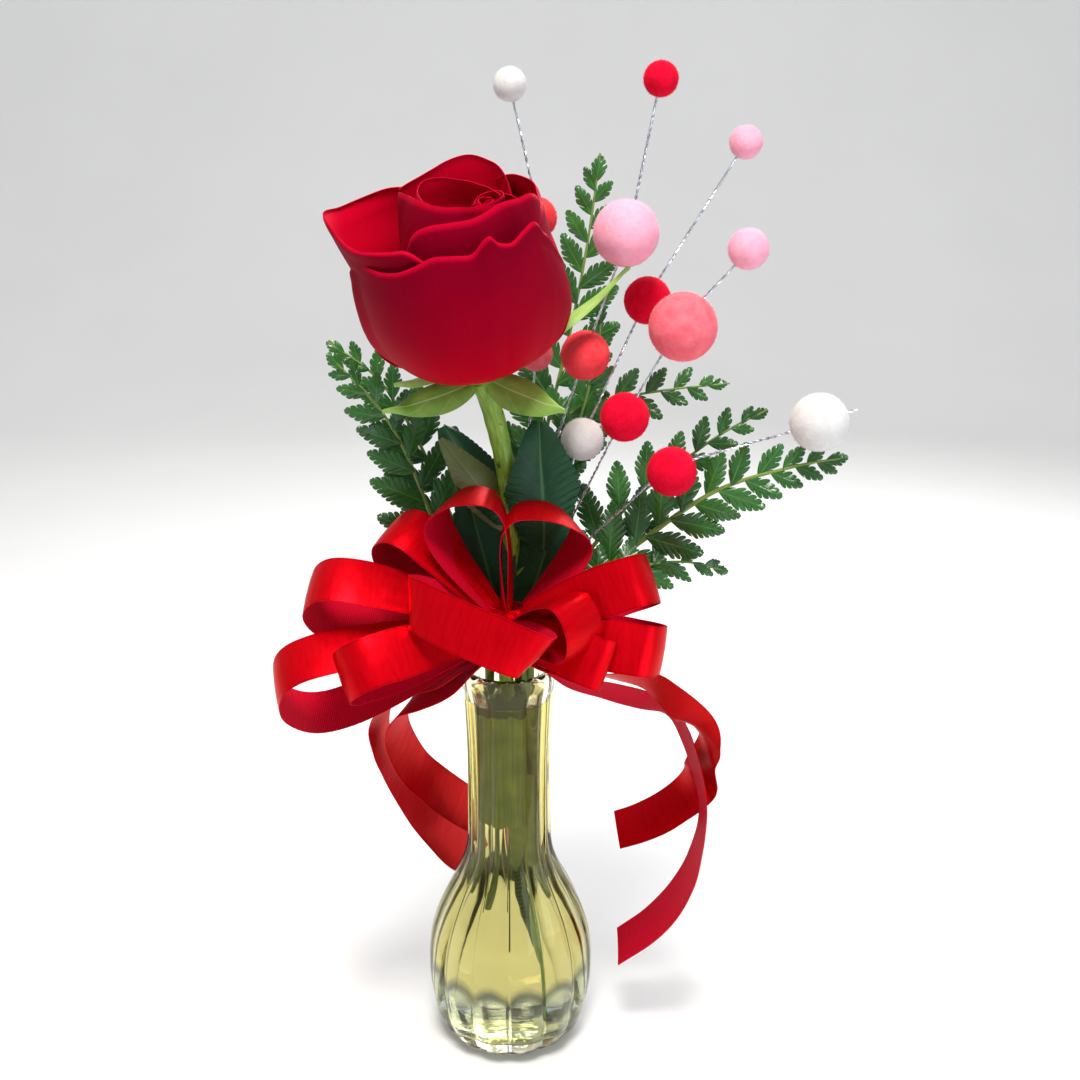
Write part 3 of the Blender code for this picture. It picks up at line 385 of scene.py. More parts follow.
def felt_surface(name, pit, body, tip):
    made = Surface(
        name, 0.95, Sheen_Weight=0.18, Sheen_Roughness=0.5, Sheen_Tint=(*tip, 1), Specular_IOR_Level=0.1)
    mottle = made.weighed(made.noise(190, 3), 0.45, made.math("MULTIPLY", made.spare, 0.45))
    made.feed("Base Color", made.ramp(mottle, (0.10, pit), (0.40, body), (0.80, tip)))
    return made.bump(made.noise(1100, 4), 0.5, 0.0005).material


def wire_surface():
    made = Surface("wire_silver", 0.28, Metallic=1.0)
    tarnish = made.noise(420, 2)
    made.feed("Base Color", made.ramp(tarnish, (0.3, (0.34, 0.35, 0.40)), (0.7, (0.68, 0.70, 0.76))))
    made.feed("Roughness", made.weighed(tarnish, 0.3, 0.15))
    return made.material


def tape_surface():
    made = Surface("floral_tape", 0.7)
    wrap = made.bands(made.scaled(1.0, 0.25), 1.0, direction="DIAGONAL")
    made.feed("Base Color", made.ramp(wrap, (0.2, (0.05, 0.11, 0.03)), (0.8, (0.10, 0.18, 0.05))))
    return made.bump(wrap, 0.4, 0.0004).material


FLUTES = 14


def tint_and_painted_refraction(made, yellow, pale):
    """The tint of the bulb: yellow, with painted refraction: a pale blue band low on its front half under a
    scalloped dark line. The levels are tenths of a metre above the foot. Behind they are too high for the
    band."""
    x, y, z = made.parts(made.place)
    turn = made.math("ARCTAN2", y, x)
    refraction_scallop = made.math("ABSOLUTE", made.math("COSINE", made.math("MULTIPLY", turn, 0.5 * FLUTES)))
    level = made.weighed(z, 10.0, made.math("MULTIPLY", refraction_scallop, -0.06))
    level = made.weighed(made.noise(90, 3), 0.03, level)
    behind = made.math("MULTIPLY", y, 60.0, clamp=True)
    level = made.weighed(behind, 0.4, level)
    # The pale band and the dark line over it are painted refraction
    dark = tuple(0.42 * part for part in pale)
    return made.ramp(level, (0.06, yellow), (0.10, pale), (0.34, pale), (0.37, dark), (0.42, yellow))


def glass_surface():
    made = Surface(
        "pressed_glass", 0.01, IOR=1.5, Transmission_Weight=1.0, Specular_Tint=(0.55, 0.52, 0.34, 1))
    # The glass's yellow tint, with the painted refraction band and line
    made.feed("Base Color", tint_and_painted_refraction(made, (0.96, 0.94, 0.74), (0.93, 0.985, 1.0)))
    low = made.weighed(made.parts(made.place)[2], -60.0, 1.0, clamp=True)
    made.bump(made.noise(60, 2), 0.06, 0.0008)
    return made.bump(made.math("MULTIPLY", made.noise(330, 2), low), 0.5, 0.0008).material


def water_surface():
    made = Surface(
        "water_clear", 0.0, IOR=1.333, Transmission_Weight=1.0, Specular_Tint=(0.55, 0.55, 0.45, 1))
    # The water's yellow tint, with the painted refraction band and line
    made.feed("Base Color", tint_and_painted_refraction(made, (0.95, 0.89, 0.48), (0.90, 0.98, 1.0)))
    return made.bump(made.noise(45, 1), 0.02, 0.0005).material


SATIN, RIBBED = satin_surface(), ribbed_surface()
ROSE_STEM = stem_surface("rose_stem_green", (0.08, 0.20, 0.008), (0.24, 0.38, 0.030), True)
FERN_STEM = stem_surface("fern_stem_green", (0.09, 0.16, 0.02), (0.20, 0.30, 0.05), False)
NECK_LEAF = neck_leaf_surface()
FELTS = {
    "red": felt_surface("felt_red", (0.50, 0.0, 0.014), (0.78, 0.002, 0.034), (0.88, 0.030, 0.070)),
    "coral": felt_surface("felt_coral", (0.66, 0.020, 0.035), (0.84, 0.075, 0.085), (0.93, 0.17, 0.15)),
    "pink": felt_surface("felt_pink", (0.68, 0.080, 0.120), (0.85, 0.200, 0.230), (0.94, 0.34, 0.35)),
    "pale": felt_surface("felt_pale_pink", (0.78, 0.30, 0.42), (0.90, 0.43, 0.54), (0.96, 0.60, 0.69)),
    "white": felt_surface("felt_white", (0.56, 0.55, 0.55), (0.70, 0.68, 0.66), (0.82, 0.80, 0.78)),
}
WIRE, TAPE, GLASS, WATER = wire_surface(), tape_surface(), glass_surface(), water_surface()


# ---- camera, light and floor

CAMERA_PLACE, CAMERA_DIP = (0.015, -0.543, 0.426), 17.2
LENS, SENSOR = 41.667, 36
# Each light: its place, the height on the vase's axis that it aims at, its size, power and colour.
LIGHTS = {
    "key": ((-0.05, -0.50, 1.35), 0.30, 0.40, 18.0, (1.0, 0.96, 0.90)),
    "fill": ((0.95, -0.70, 0.20), 0.28, 0.8, 5.0, (0.72, 0.86, 1.0)),
    "back": ((0.35, 0.85, 0.90), 0.30, 0.7, 7.0, (1.0, 1.0, 1.0)),
}
SKY_LOW, SKY_HIGH = (0.55, 0.57, 0.60, 1), (1.0, 1.0, 1.0, 1)
SKY_HIGH_FROM, SKY_STRENGTH = 0.8, 0.72
FLOOR_START, BEND_START, BEND_RADIUS, WALL_TOP, FLOOR_HALF_WIDTH = -3.0, 1.4, 0.9, 3.5, 4.0


def make_camera():
    camera = bpy.data.cameras.new("camera")
    camera.lens = LENS
    camera.sensor_width = SENSOR
    seen = placed("camera", camera)
    seen.location = CAMERA_PLACE
    seen.rotation_euler = (math.radians(90 - CAMERA_DIP), 0, 0)
    bpy.context.scene.camera = seen


def make_lights():
    for name, (place, aim, size, power, colour) in LIGHTS.items():
        light = bpy.data.lights.new(name, "AREA")
        light.shape = "DISK"
        light.size = size
        light.energy = power
        light.color = colour
        lamp = placed(name, light)
        lamp.location = place
        lamp.rotation_euler = (Vector((0, 0, aim)) - Vector(place)).to_track_quat("-Z", "Y").to_euler()


def make_sky():
    world = bpy.data.worlds.new("studio")
    world.use_nodes = True
    tree = world.node_tree
    sky = node(tree, "ShaderNodeTexCoord", {}).outputs["Generated"]
    height = node(tree, "ShaderNodeSeparateXYZ", {0: sky}).outputs[2]
    ramp = node(tree, "ShaderNodeValToRGB", {"Fac": height})
    low, high = ramp.color_ramp.elements
    low.color = SKY_LOW
    high.color = SKY_HIGH
    high.position = SKY_HIGH_FROM
    back = tree.nodes["Background"]
    tree.links.new(ramp.outputs["Color"], back.inputs["Color"])
    back.inputs["Strength"].default_value = SKY_STRENGTH
    bpy.context.scene.world = world
    bpy.context.scene.view_settings.view_transform = "Standard"


def make_floor():
    """A pale floor that bends up into a wall behind."""
    floor = Surface("floor_pale", 0.8)
    floor.feed("Base Color", floor.ramp(floor.noise(3, 2), (0.3, 0.84), (0.7, 0.87)))
    bend = [
        (BEND_START + BEND_RADIUS * math.sin(a), BEND_RADIUS * (1 - math.cos(a)))
        for a in np.linspace(0, math.pi / 2, 24)
    ]
    line = [(FLOOR_START, 0.0), *bend, (BEND_START + BEND_RADIUS, WALL_TOP)]
    below = 0.5 * MM
    verts = [(x, y, z - below) for y, z in line for x in (-FLOOR_HALF_WIDTH, FLOOR_HALF_WIDTH)]
    mesh = bpy.data.meshes.new("floor")
    mesh.from_pydata(verts, [], [(2 * k, 2 * k + 1, 2 * k + 3, 2 * k + 2) for k in range(len(line) - 1)])
    mesh.shade_smooth()
    mesh.materials.append(floor.material)
    obj = placed("floor", mesh)


# ---- vase and water

VASE_HEIGHT, FLUTE_DEPTH, BASE_THICKNESS, WATER_TOP = 195, 1.5, 9, 181
# Height, outer radius and wall of the vase.
VASE_SECTIONS = [
    (0.0, 26.5, 10.0), (4.0, 33.0, 7.0), (13.0, 37.8, 4.8), (26.0, 40.3, 4.0), (40.0, 40.7, 3.8),
    (54.0, 39.4, 3.8), (67.0, 35.8, 3.8), (78.0, 31.0, 3.8), (89.0, 25.4, 3.8), (101.0, 21.2, 3.8),
    (118.0, 20.1, 3.8), (182.0, 21.2, 3.8), (190.0, 22.0, 3.9), (195.0, 21.6, 3.6),
]
LIP = [(21.2, 195.9), (20.5, 196.5), (19.6, 196.7), (18.7, 196.3), (18.2, 195.4)]
# The floor inside: shares of its radius and heights above the base, and how far water reaches into glass.
FLOOR_RADIUS = 31.32
FLOOR_CURVE = [(0.0, 0.0), (0.3, 0.0), (0.55, 0.0), (0.78, 0.2), (0.88, 1.0), (0.95, 2.5), (0.985, 4.5)]
WALL_OVERLAP, FLOOR_OVERLAP = 0.06, 0.05
# The water's rim: how far in from the wall, and its height from the water's top.
MENISCUS = [(0.0, -1.0), (0.0, 0.6), (0.5, -0.1), (1.6, -0.6), (3.2, -0.8)]


def vase_sections(z):
    """Outer radius and wall at heights z, smooth through the sections."""
    table = np.array(VASE_SECTIONS)
    low, high = table[:-1], table[1:]
    slope = (high[:, 1:] - low[:, 1:]) / (high[:, :1] - low[:, :1])
    at = np.vstack([slope[:1], 0.5 * (slope[:-1] + slope[1:]), slope[-1:]])
    k = np.clip(np.searchsorted(table[:, 0], z, side="right") - 1, 0, len(table) - 2)
    step = (table[k + 1, 0] - table[k, 0])[:, None]
    t = (z - table[k, 0])[:, None] / step
    return (
        (2 * t**3 - 3 * t**2 + 1) * table[k, 1:] + (t**3 - 2 * t**2 + t) * step * at[k]
        + (3 * t**2 - 2 * t**3) * table[k + 1, 1:] + (t**3 - t**2) * step * at[k + 1]
    )


def inside_wall(heights):
    """Radii of the inner wall, with their heights."""
    return [(radius - wall, z) for (radius, wall), z in zip(vase_sections(heights), heights)]


def make_vase():
    sides = FLUTES * 12
    turns = np.linspace(0, TURN, sides, endpoint=False)
    groove = FLUTE_DEPTH * (1 - np.abs(np.cos(FLUTES / 2 * turns)) ** 0.9)
    heights = np.concatenate([np.linspace(0, 12, 13), np.linspace(14, 194, 91), [VASE_HEIGHT]])
    outer = vase_sections(heights)[:, 0]
    fade = smoothstep(VASE_HEIGHT, VASE_HEIGHT - 14, heights) * smoothstep(-2, 6, heights)
    rings = [(radius, 1.2 * (1 - smoothstep(14, 23, radius))) for radius in (0, 8, 16, 22)]
    rings += [(outer[0] - 0.8, 0.0)]
    rings += [(radius - share * groove, z or 0.35) for radius, z, share in zip(outer, heights, fade)]
    rings += LIP + inside_wall(np.linspace(194, 16, 90))
    rings += [(FLOOR_RADIUS * share, BASE_THICKNESS + rise) for share, rise in reversed(FLOOR_CURVE)]
    shells = Shells()
    lathe_shell(shells, turned(rings, sides))
    dress(shells.build("glass_vase", [GLASS], 75), "glass", "vase")


def make_water():
    rings = [(FLOOR_RADIUS * share, BASE_THICKNESS - FLOOR_OVERLAP + rise) for share, rise in FLOOR_CURVE]
    rings += [(radius + WALL_OVERLAP, z) for radius, z in inside_wall(np.linspace(16, WATER_TOP - 2.5, 84))]
    edge = inside_wall(np.array([WATER_TOP]))[0][0] + WALL_OVERLAP
    rings += [(edge - inwards, WATER_TOP + rise) for inwards, rise in MENISCUS]
    rings += [(radius, WATER_TOP - 0.85) for radius in (6, 0)]
    shells = Shells()
    lathe_shell(shells, turned(rings, 96))
    dress(shells.build("vase_water", [WATER], 50), "water", "water")


# ---- stems in the vase

MOUTH_Z = 196
# Foot, place in the mouth and radius of each stem.
STEMS = {
    "rose": ((13, -7, 14), (-1.0, -5.0), 3.4),
    "pick": ((2, 7, 40), (5.0, 4.0), 1.9),
    "frond_1": ((8, 2.5, 15), (9.8, -1.6), 2.0),
    "frond_2": ((9, 8, 64), (11.0, 5.5), 1.4),
    "frond_3": ((-1, 13, 70), (0.5, 11.5), 1.4),
    "frond_4": ((-3, 7, 60), (-1.5, 5.5), 1.5),
    "frond_5": ((-10, 8, 68), (-8.0, 7.0), 1.4),
    "frond_6": ((-9, -1, 64), (-9.5, 0.5), 1.4),
    "frond_7": ((11, -6.5, 145), (7.4, -6.0), 1.3),
    "frond_8": ((5, 13, 76), (6.0, 10.3), 1.3),
}


def stem_line(name):
    foot, mouth, radius = STEMS[name]
    return np.array(foot, float), np.array([*mouth, MOUTH_Z], float), radius


# ---- leaves and fern

# One tooth of a leaf's edge: how far along it is, and how much of the tooth's depth is filled there.
TOOTH = [(0.0, 0.0), (0.07, 0.66), (0.22, 0.90), (0.50, 1.0), (0.80, 0.93), (0.94, 0.66)]
PINNA = dict(deep=0.50, slant=0.95, arch=0.06, droop=0.04, thick=0.4, columns=7, waist=0.28)
ROSE_LEAF = dict(deep=0.07, slant=0.35, arch=0.06, droop=0.03, thick=0.5, columns=17, waist=0.42)
# Each frond: its points above the mouth, its leaflets in the CAD, the length of the longest, the way that
# the frond faces, and how far along it they start.
FRONDS = {
    "frond_1": (
        [(30, 4, 232), (58, 3, 254), (92, -9, 283), (126, -18, 297), (147, -20, 301)],
        14, 34, (-0.2, -1.0, 0.35), 0.30),
    "frond_2": (
        [(28, 10, 236), (56, 13, 271), (77, 13, 289), (98, 12, 305), (117, 10, 316)],
        11, 31, (-0.2, -1.0, 0.30), 0.33),
    "frond_3": (
        [(12, 24, 250), (24, 33, 303), (46, 34, 315), (76, 33, 321), (103, 32, 324)],
        11, 30, (-0.1, -1.0, 0.35), 0.42),
    "frond_4": (
        [(6, 30, 250), (18, 42, 300), (30, 46, 350), (37, 45, 388), (42, 43, 426)],
        15, 40, (-0.1, -1.0, 0.25), 0.34),
    "frond_5": (
        [(-18.5, 15, 242), (-36, 20, 288), (-50, 20, 316), (-62, 19, 332), (-80, 18, 345)],
        12, 32, (0.1, -1.0, 0.35), 0.36),
    "frond_6": (
        [(-22, 4, 236), (-36, 5, 272), (-46, 5, 299), (-58, 4, 320), (-77, 3, 341)],
        11, 34, (0.25, -1.0, 0.30), 0.34),
    "frond_7": (
        [(22, -9.5, 220), (42, -7.5, 236), (62, -5, 247), (82, -2, 248), (100, 0, 243)],
        8, 27, (-0.1, -1.0, 0.55), 0.36),
    "frond_8": (
        [(8, 13, 240), (22, 24, 276), (34, 26, 310), (41, 26, 340), (43, 26, 361)],
        8, 27, (-0.1, -1.0, 0.25), 0.42),
}
MORE_LEAFLETS = 1.5  # finer leaflets here, and this many times as many as in the CAD


def cut_leaf(shells, base, direction, normal, length, width, teeth, slots, tone, deep, slant, arch, droop,
             thick, columns, waist, fold=0.0, ribs=1.0):
    """A leaf from base along direction, its upper face to normal, widest at its waist. Its rows slant
    forward, and a share deep of its width is cut between the teeth, so that they point to its tip."""
    direction = unit(direction)
    side = unit(np.cross(direction, normal))
    face = np.cross(side, direction)
    v = np.array([(k + far) / teeth for k in range(teeth) for far, _ in TOOTH] + [1.0])
    saw = np.array([height for _ in range(teeth) for _, height in TOOTH] + [0.0])
    outline = (np.minimum(v / waist, 1.0) ** 0.55) * np.clip((1.04 - v) / (1.04 - waist), 0, 1) ** 0.75
    outline = np.where(v > waist, outline, 0.25 + 0.75 * outline)
    half = np.maximum(0.5 * width * outline * (1 - deep * (1 - saw)), 0.2)[:, None]
    U, V = np.meshgrid(np.linspace(-1, 1, columns), v)
    reach = np.abs(U) * half
    lift = arch * width * (1 - U**2) - droop * length * V**2 + fold * reach
    lift += 0.05 * width * np.sin(6 * V + 1.4 * U + 7 * tone) - 0.012 * width * np.exp(-(U / 0.15) ** 2)
    ahead = V * length * (1 - 0.10 * slant) + slant * reach * (1 - smoothstep(0.9, 1.0, V))
    grid = base + ahead[..., None] * direction + (U * half)[..., None] * side + lift[..., None] * face
    thickness = thick * (0.4 + 0.6 * (1 - np.abs(U) ** 3))
    sheet_shell(shells, grid, thickness, (U, V * ribs, 0), tone, slots)


def make_frond(key):
    points, count, longest, facing, start = FRONDS[key]
    foot, mouth, radius = stem_line(key)
    route = [mouth, mouth + unit(mouth - foot) * 14, *points]
    coarse, line = smooth_path(route, 9), smooth_path(route, 49)
    radii = np.interp(np.linspace(0, 1, 49), [0, 0.35, 1], [radius, 0.75 * radius, 0.45])
    shells = Shells()
    lower = np.linspace(foot, mouth, 8, endpoint=False)
    tube_shell(shells, np.vstack([lower, line]), [radius] * 8 + list(radii), 10, 2)
    draw = random.Random(key)
    face = unit(np.array(facing, float))
    count = round(MORE_LEAFLETS * count)
    for k in range(count):
        share, last = k / (count - 1), k == count - 1
        at = start - 0.02 + (0.97 - start) * (1 - (1 - share) ** 1.2)
        spot = at * (len(coarse) - 1)
        low = min(int(spot), len(coarse) - 2)
        step = coarse[low + 1] - coarse[low]
        here, along = coarse[low] + step * (spot - low), unit(step)
        normal = unit(face - along * face.dot(along))
        side = np.cross(along, normal) * (1 if k % 2 else -1)
        angle = 0.0 if last else math.radians(56 - 24 * share + draw.uniform(-4, 4))
        size = 0.8 if k < 2 else 1.3 if last else 1
        length = longest * (1 - 0.74 * share**1.5) * draw.uniform(0.92, 1.03) * size
        tilt = np.array([draw.uniform(-0.13, 0.13) for _ in range(3)])
        direction = along * math.cos(angle) + side * math.sin(angle) + tilt * 0.4
        teeth = max(4, round(length / 3.7))
        width = 0.62 * length if last else 0.41 * length + 1.2
        cut_leaf(
            shells, here - unit(direction) * 0.3, direction, normal + tilt, length, width, teeth, (0, 1),
            draw.random(), ribs=teeth, **PINNA)
    dress(shells.build("fern_" + key, [FERN_TOP, FERN_UNDER, FERN_STEM], 50), "fern", key)


# ---- the rose

ROSE_BASE = Vector((-9.5, -25, 341)) * MM
ROSE_MATRIX = (
    Matrix.Translation(ROSE_BASE) @ Matrix.Rotation(-math.radians(9), 4, "Y")
    @ Matrix.Rotation(math.radians(18), 4, "X"))
BLOOM_HEIGHT = 0.93
HEART_LEAN = (16.5, -3)
# The closed core that the petals stand round: radii and heights.
CORE = [(0, 0.4), (6, 0.4), (13, 4), (17, 11), (16, 26), (11.5, 42), (6.5, 56), (3.0, 66), (0, 68)]
# Each petal: belly radius, root (radius, height), how far its rim curls out, how far the rim leans (x, y),
# and the rim's points (angle, radius, height).
PETALS = {
    "front": (38.6, (6, 1), 1.5, (0, 0), [
        (-166, 39.2, 60), (-154, 39.6, 65.5), (-143, 40, 66), (-132, 40, 65.2), (-121, 39.4, 65.6),
        (-110, 38.4, 68), (-100, 37, 70.4), (-88, 36.8, 69.8), (-78, 36.8, 69.4), (-70, 38.2, 75),
        (-63, 38.6, 72), (-56, 38.8, 70.6), (-48, 39.6, 73.5), (-40, 40.1, 74.6), (-33, 39.8, 67.5),
        (-22, 39.2, 58), (-8, 38.6, 48), (6, 38.2, 40)]),
    "back_right": (37.2, (6, 2), 1.0, (0, 0), [
        (-14, 37.2, 40), (12, 37.6, 52), (42, 37.6, 68), (72, 37.6, 71), (100, 37.2, 62)]),
    "back_left": (38.4, (6, 2), 1.0, (0, 0), [
        (84, 38.4, 56), (108, 38.6, 67), (130, 38.8, 60), (150, 38.8, 49), (170, 38.6, 43),
        (190, 38.4, 38)]),
    "left": (36.4, (7, 3), 6.0, (0, 0), [
        (118, 30, 76.5), (132, 35, 78), (147, 40, 77.5), (163, 44, 78.5), (177, 46.6, 81.5),
        (187, 47, 81.5), (197, 44, 76.5), (208, 41, 73.8), (222, 38.4, 73.6), (234, 36.4, 73.8),
        (245, 34.6, 73.6), (258, 33.4, 66)]),
    "right": (35.2, (7, 3), 2.5, (0, 0), [
        (-30, 33.0, 66), (-12, 33.6, 70), (4, 34, 72), (17, 34, 75.5), (28, 31.4, 78), (40, 29.4, 77.5),
        (52, 28.6, 75)]),
    "back": (27.0, (8, 6), 2.0, (0, 0), [
        (26, 26, 70), (36, 28.4, 76), (46, 29.8, 80.6), (58, 30, 83), (72, 30, 85.2), (88, 29, 84.2),
        (104, 28, 82), (120, 26.6, 80.2), (140, 25.2, 79.6)]),
    "middle_front": (32.6, (8, 6), 2.0, (2, 0), [
        (-132, 31.4, 56), (-126, 31.0, 69), (-118, 30.2, 77), (-106, 29.2, 79.8), (-90, 28.8, 80),
        (-74, 28.4, 79.4), (-59, 28.2, 80.6), (-47, 28.4, 81.8), (-34, 29.2, 80.8), (-22, 31, 80),
        (-12, 32, 76.5)]),
    "middle_right": (29.0, (9, 14), 1.0, (4, 0), [
        (-56, 23, 68), (-28, 24, 70), (0, 24, 70), (30, 23.4, 71), (60, 22.4, 71)]),
    "inner_back": (26.0, (11, 20), 1.0, (4, 0), [
        (40, 21.6, 70), (72, 21.2, 71), (106, 20.8, 72), (140, 20.6, 73), (172, 20.2, 72)]),
    "fold": (23.6, (9, 16), 0.8, (2, 0), [
        (128, 24.0, 70), (146, 24, 78.5), (163, 21.4, 82), (184, 15.6, 82.5), (214, 13.2, 82.2),
        (240, 14.2, 81.4), (262, 15.4, 80.8), (281, 16.8, 80.4), (298, 20.6, 80), (312, 22.6, 79.4),
        (327, 23.4, 78.4)]),
    "cup": (18.6, (8, 34), 0.6, (6, 0), [
        (-20, 15.2, 78.4), (8, 12.4, 78), (32, 11.4, 78), (54, 11.4, 78.5), (76, 13, 79.4),
        (97, 15.2, 80.2), (118, 17.8, 82), (138, 19.2, 83), (158, 18.4, 82), (184, 16, 80.5),
        (212, 13.6, 78)]),
    "heart": (9.0, (5, 44), 0.4, (16.5, -3), [
        (-140, 6.0, 76), (-85, 4.8, 77), (-40, 6.4, 77.8), (10, 5.6, 78), (70, 5.4, 77.6), (130, 4.8, 77),
        (185, 4.2, 75.5)]),
    "furl_1": (6.4, (4, 46), 0.3, (16.5, -3), [
        (60, 3.6, 75.5), (130, 3.4, 76.6), (200, 3.2, 76.4), (270, 2.8, 74.6)]),
    "furl_2": (4.2, (3, 48), 0.2, (16.5, -3), [
        (-90, 2.4, 75), (-20, 2.2, 76), (50, 2.0, 75.6), (120, 1.6, 74)]),
}
SMALL_BELLY = 12  # petals narrower than this are those of the heart, and plainer
# How far the lips of the petals roll out, where it is more than a little.
LIP_ROLL = {"front": 1.5, "left": 2.2, "middle_front": 0.8, "back": 0.5, "right": 1.0}
# The two points on the front petal's rim: place, width and height.
FRONT_PEAKS = [(0.10, 0.030, 1.2), (0.70, 0.05, 1.4)]
# The swollen top of the stem: radii and heights from the foot of the bloom.
RECEPTACLE = [(0, -9), (3.6, -9), (4.6, -7.6), (6.2, -5), (7.1, -3), (7.0, -1.5), (5.4, 0), (0, 0)]
# Each sepal: its angle, length, width, how far it hangs, and its twist.
SEPALS = [
    (-150, 43, 17, 0, 38), (-46, 42, 19, 7, -38), (20, 68, 11, -24, 0), (92, 34, 12, 6, 0),
    (166, 36, 12, 6, 0)]
STEM_ABOVE = [(2.5, -3.6, 222), (2, -9, 250), (1.5, -15, 285), (-4.2, -20.5, 318)]
# Each thorn: how far up the stem it is, the angle that it points at, in radians, and its size.
THORNS = [(0.33, 2.4, 3.0), (0.47, -0.4, 3.2), (0.74, -2.2, 2.6), (0.86, 0.5, 2.4), (0.91, -1.2, 1.6)]
# Each leaf: its base, its tip, the way that it faces, and its width.
ROSE_LEAVES = [
    ((16, -12, 256), (15, -21, 319), (0.25, -1.0, 0.30), 36),
    ((3, -12, 268), (-28, -15.5, 315.5), (0.45, -0.8, 0.70), 27),
    ((-2, -12.5, 222), (-19, -14.5, 292), (0.1, -1.0, -0.10), 29),
    ((6, -12, 220), (27, -13.5, 286), (-0.2, -1.0, -0.08), 29),
]
FOLDED_LEAF = 1


def leaned(points, lean):
    """Points of the bloom moved sideways by lean (x, y) at rim height and less lower down."""
    sideways = (points[..., 2:] / 80) ** 2 * np.array(lean, float)
    return np.concatenate([points[..., :2] + sideways, points[..., 2:] * BLOOM_HEIGHT], -1)


def petal_grid(petal, rows, columns, roll, wave, phase, peaks, flare):
    """A petal from its root, round its belly and up to its rim, whose lip rolls out."""
    belly, (root_radius, root_height), curl, lean, rim = petal
    middle = 0.5 * (rim[0][0] + rim[-1][0])
    u = np.linspace(-1, 1, columns)
    U, V = np.meshgrid(u, 1 - (1 - np.linspace(0, 1, rows)) ** 1.35)
    angle, radius, height = catmull(rim, (u + 1) / 2 * (len(rim) - 1)).T
    for place, wide, high in peaks:
        height = height + high * np.exp(-(((u - place) / wide) ** 2))
    a, b, c, d = (1 - V) ** 3, 3 * V * (1 - V) ** 2, 3 * V * V * (1 - V), V**3
    r = a * root_radius + b * 1.08 * belly + c * 1.20 * belly + d * (radius - curl)
    z = (a + b + c) * root_height + c * 0.60 * (height - root_height) + d * height
    uneven = roll * (0.80 + 0.30 * np.sin(3.1 * U + 2.3 * phase) + 0.14 * np.sin(8.3 * U + phase))
    r += curl * smoothstep(0.70, 1.0, V)
    r += uneven * (smoothstep(0.90, 1.0, V) - 0.25 * smoothstep(0.975, 1.0, V))
    r += flare * smoothstep(0.88, 1.0, -U) * smoothstep(0.25, 0.55, V)
    r += wave * np.sin(6.3 * U + phase) * V**3 + 0.45 * wave * np.sin(13 * U + 2 * phase) * V**6
    z += 0.3 * wave * np.sin(9 * U + 3 * phase) * V**4 - 0.7 * uneven * smoothstep(0.955, 1.0, V) ** 1.4
    turn = np.radians(middle + (angle - middle) * (0.78 + 0.22 * smoothstep(0, 0.4, V)))
    return leaned(np.stack([r * np.cos(turn), r * np.sin(turn), z], -1), lean), U, V


def make_bloom():
    shells = Shells()
    for k, (key, petal) in enumerate(PETALS.items()):
        belly, rim = petal[0], petal[-1]
        span = rim[-1][0] - rim[0][0]
        small, front = belly < SMALL_BELLY, key == "front"
        rows, columns = (26, 37) if small else (52, max(61, int(span * 0.8)))
        roll = LIP_ROLL.get(key, 0.3 if small else 0.4)
        wave, flare = 0.05 if small else 0.30, 2.6 if front else 0.3
        peaks = FRONT_PEAKS if front else []
        grid, U, V = petal_grid(petal, rows, columns, roll, wave, 1.7 * k, peaks, flare)
        edge = smoothstep(0.0, 0.06, 1 - V) * smoothstep(0.0, 0.04, 1 - np.abs(U))
        sheet_shell(shells, grid, 0.35 + 0.35 * edge, (U * span / 60, V, k), k / 16, (0, 1))
    core = turned(catmull(CORE, np.linspace(0, len(CORE) - 1, 33)), 28)
    lathe_shell(shells, leaned(core, HEART_LEAN), 1)
    bloom = shells.build("rose_petals", [PETAL_OUT, PETAL_IN], 70, ROSE_MATRIX)
    dress(bloom, "petal", "rose_bloom")


def sepal_grid(angle, length, width, hang, twist):
    angle, twist = math.radians(angle), math.radians(twist)
    out = np.array([math.cos(angle), math.sin(angle), 0])
    side = np.array([-math.sin(angle), math.cos(angle), 0])
    U, V = np.meshgrid(np.linspace(-1, 1, 13), np.linspace(0, 1, 41))
    half = 0.5 * width * (0.34 * (1 - V) + 3.2 * V * (1 - V) ** 1.5) + 0.25
    fall = hang * V**1.5 - 1.5 * np.sin(np.pi * V) - 2.0 * smoothstep(0.72, 1.0, V)
    drop = 2.4 + fall + 1.6 * U * U + (0.8 * abs(math.sin(twist)) + U * math.sin(twist)) * half
    drop += 0.5 * np.sin(7 * V + angle) * U + 0.9 * np.exp(-(U / 0.3) ** 2) * (1 - V)
    grid = out * (4 + length * V)[..., None] + side * (U * half * math.cos(twist))[..., None]
    grid[..., 2] -= drop
    return grid, U, V


def make_sepals():
    shells = Shells()
    lathe_shell(shells, turned(RECEPTACLE, 32))
    for k, sepal in enumerate(SEPALS):
        grid, U, V = sepal_grid(*sepal)
        sheet_shell(shells, grid[:, ::-1], 0.7 - 0.3 * np.abs(U), (U, V, 0), 0.2 * k, (1, 1))
    dress(shells.build("rose_sepals", [ROSE_STEM, SEPAL], 50, ROSE_MATRIX), "stem")


def add_thorn(shells, spot, radius, turn, size):
    out = np.array([math.cos(turn), math.sin(turn), 0.1])
    root = spot + out * (radius * 0.7)
    tip = spot + out * (radius + size * 0.8) - [0, 0, 0.9]
    steps = np.linspace(0, 1, 7)
    path = root + (tip - root) * steps[:, None] ** 1.1
    tube_shell(shells, path, 0.05 + 1.15 * (1 - steps) ** 1.5, 8, 0)


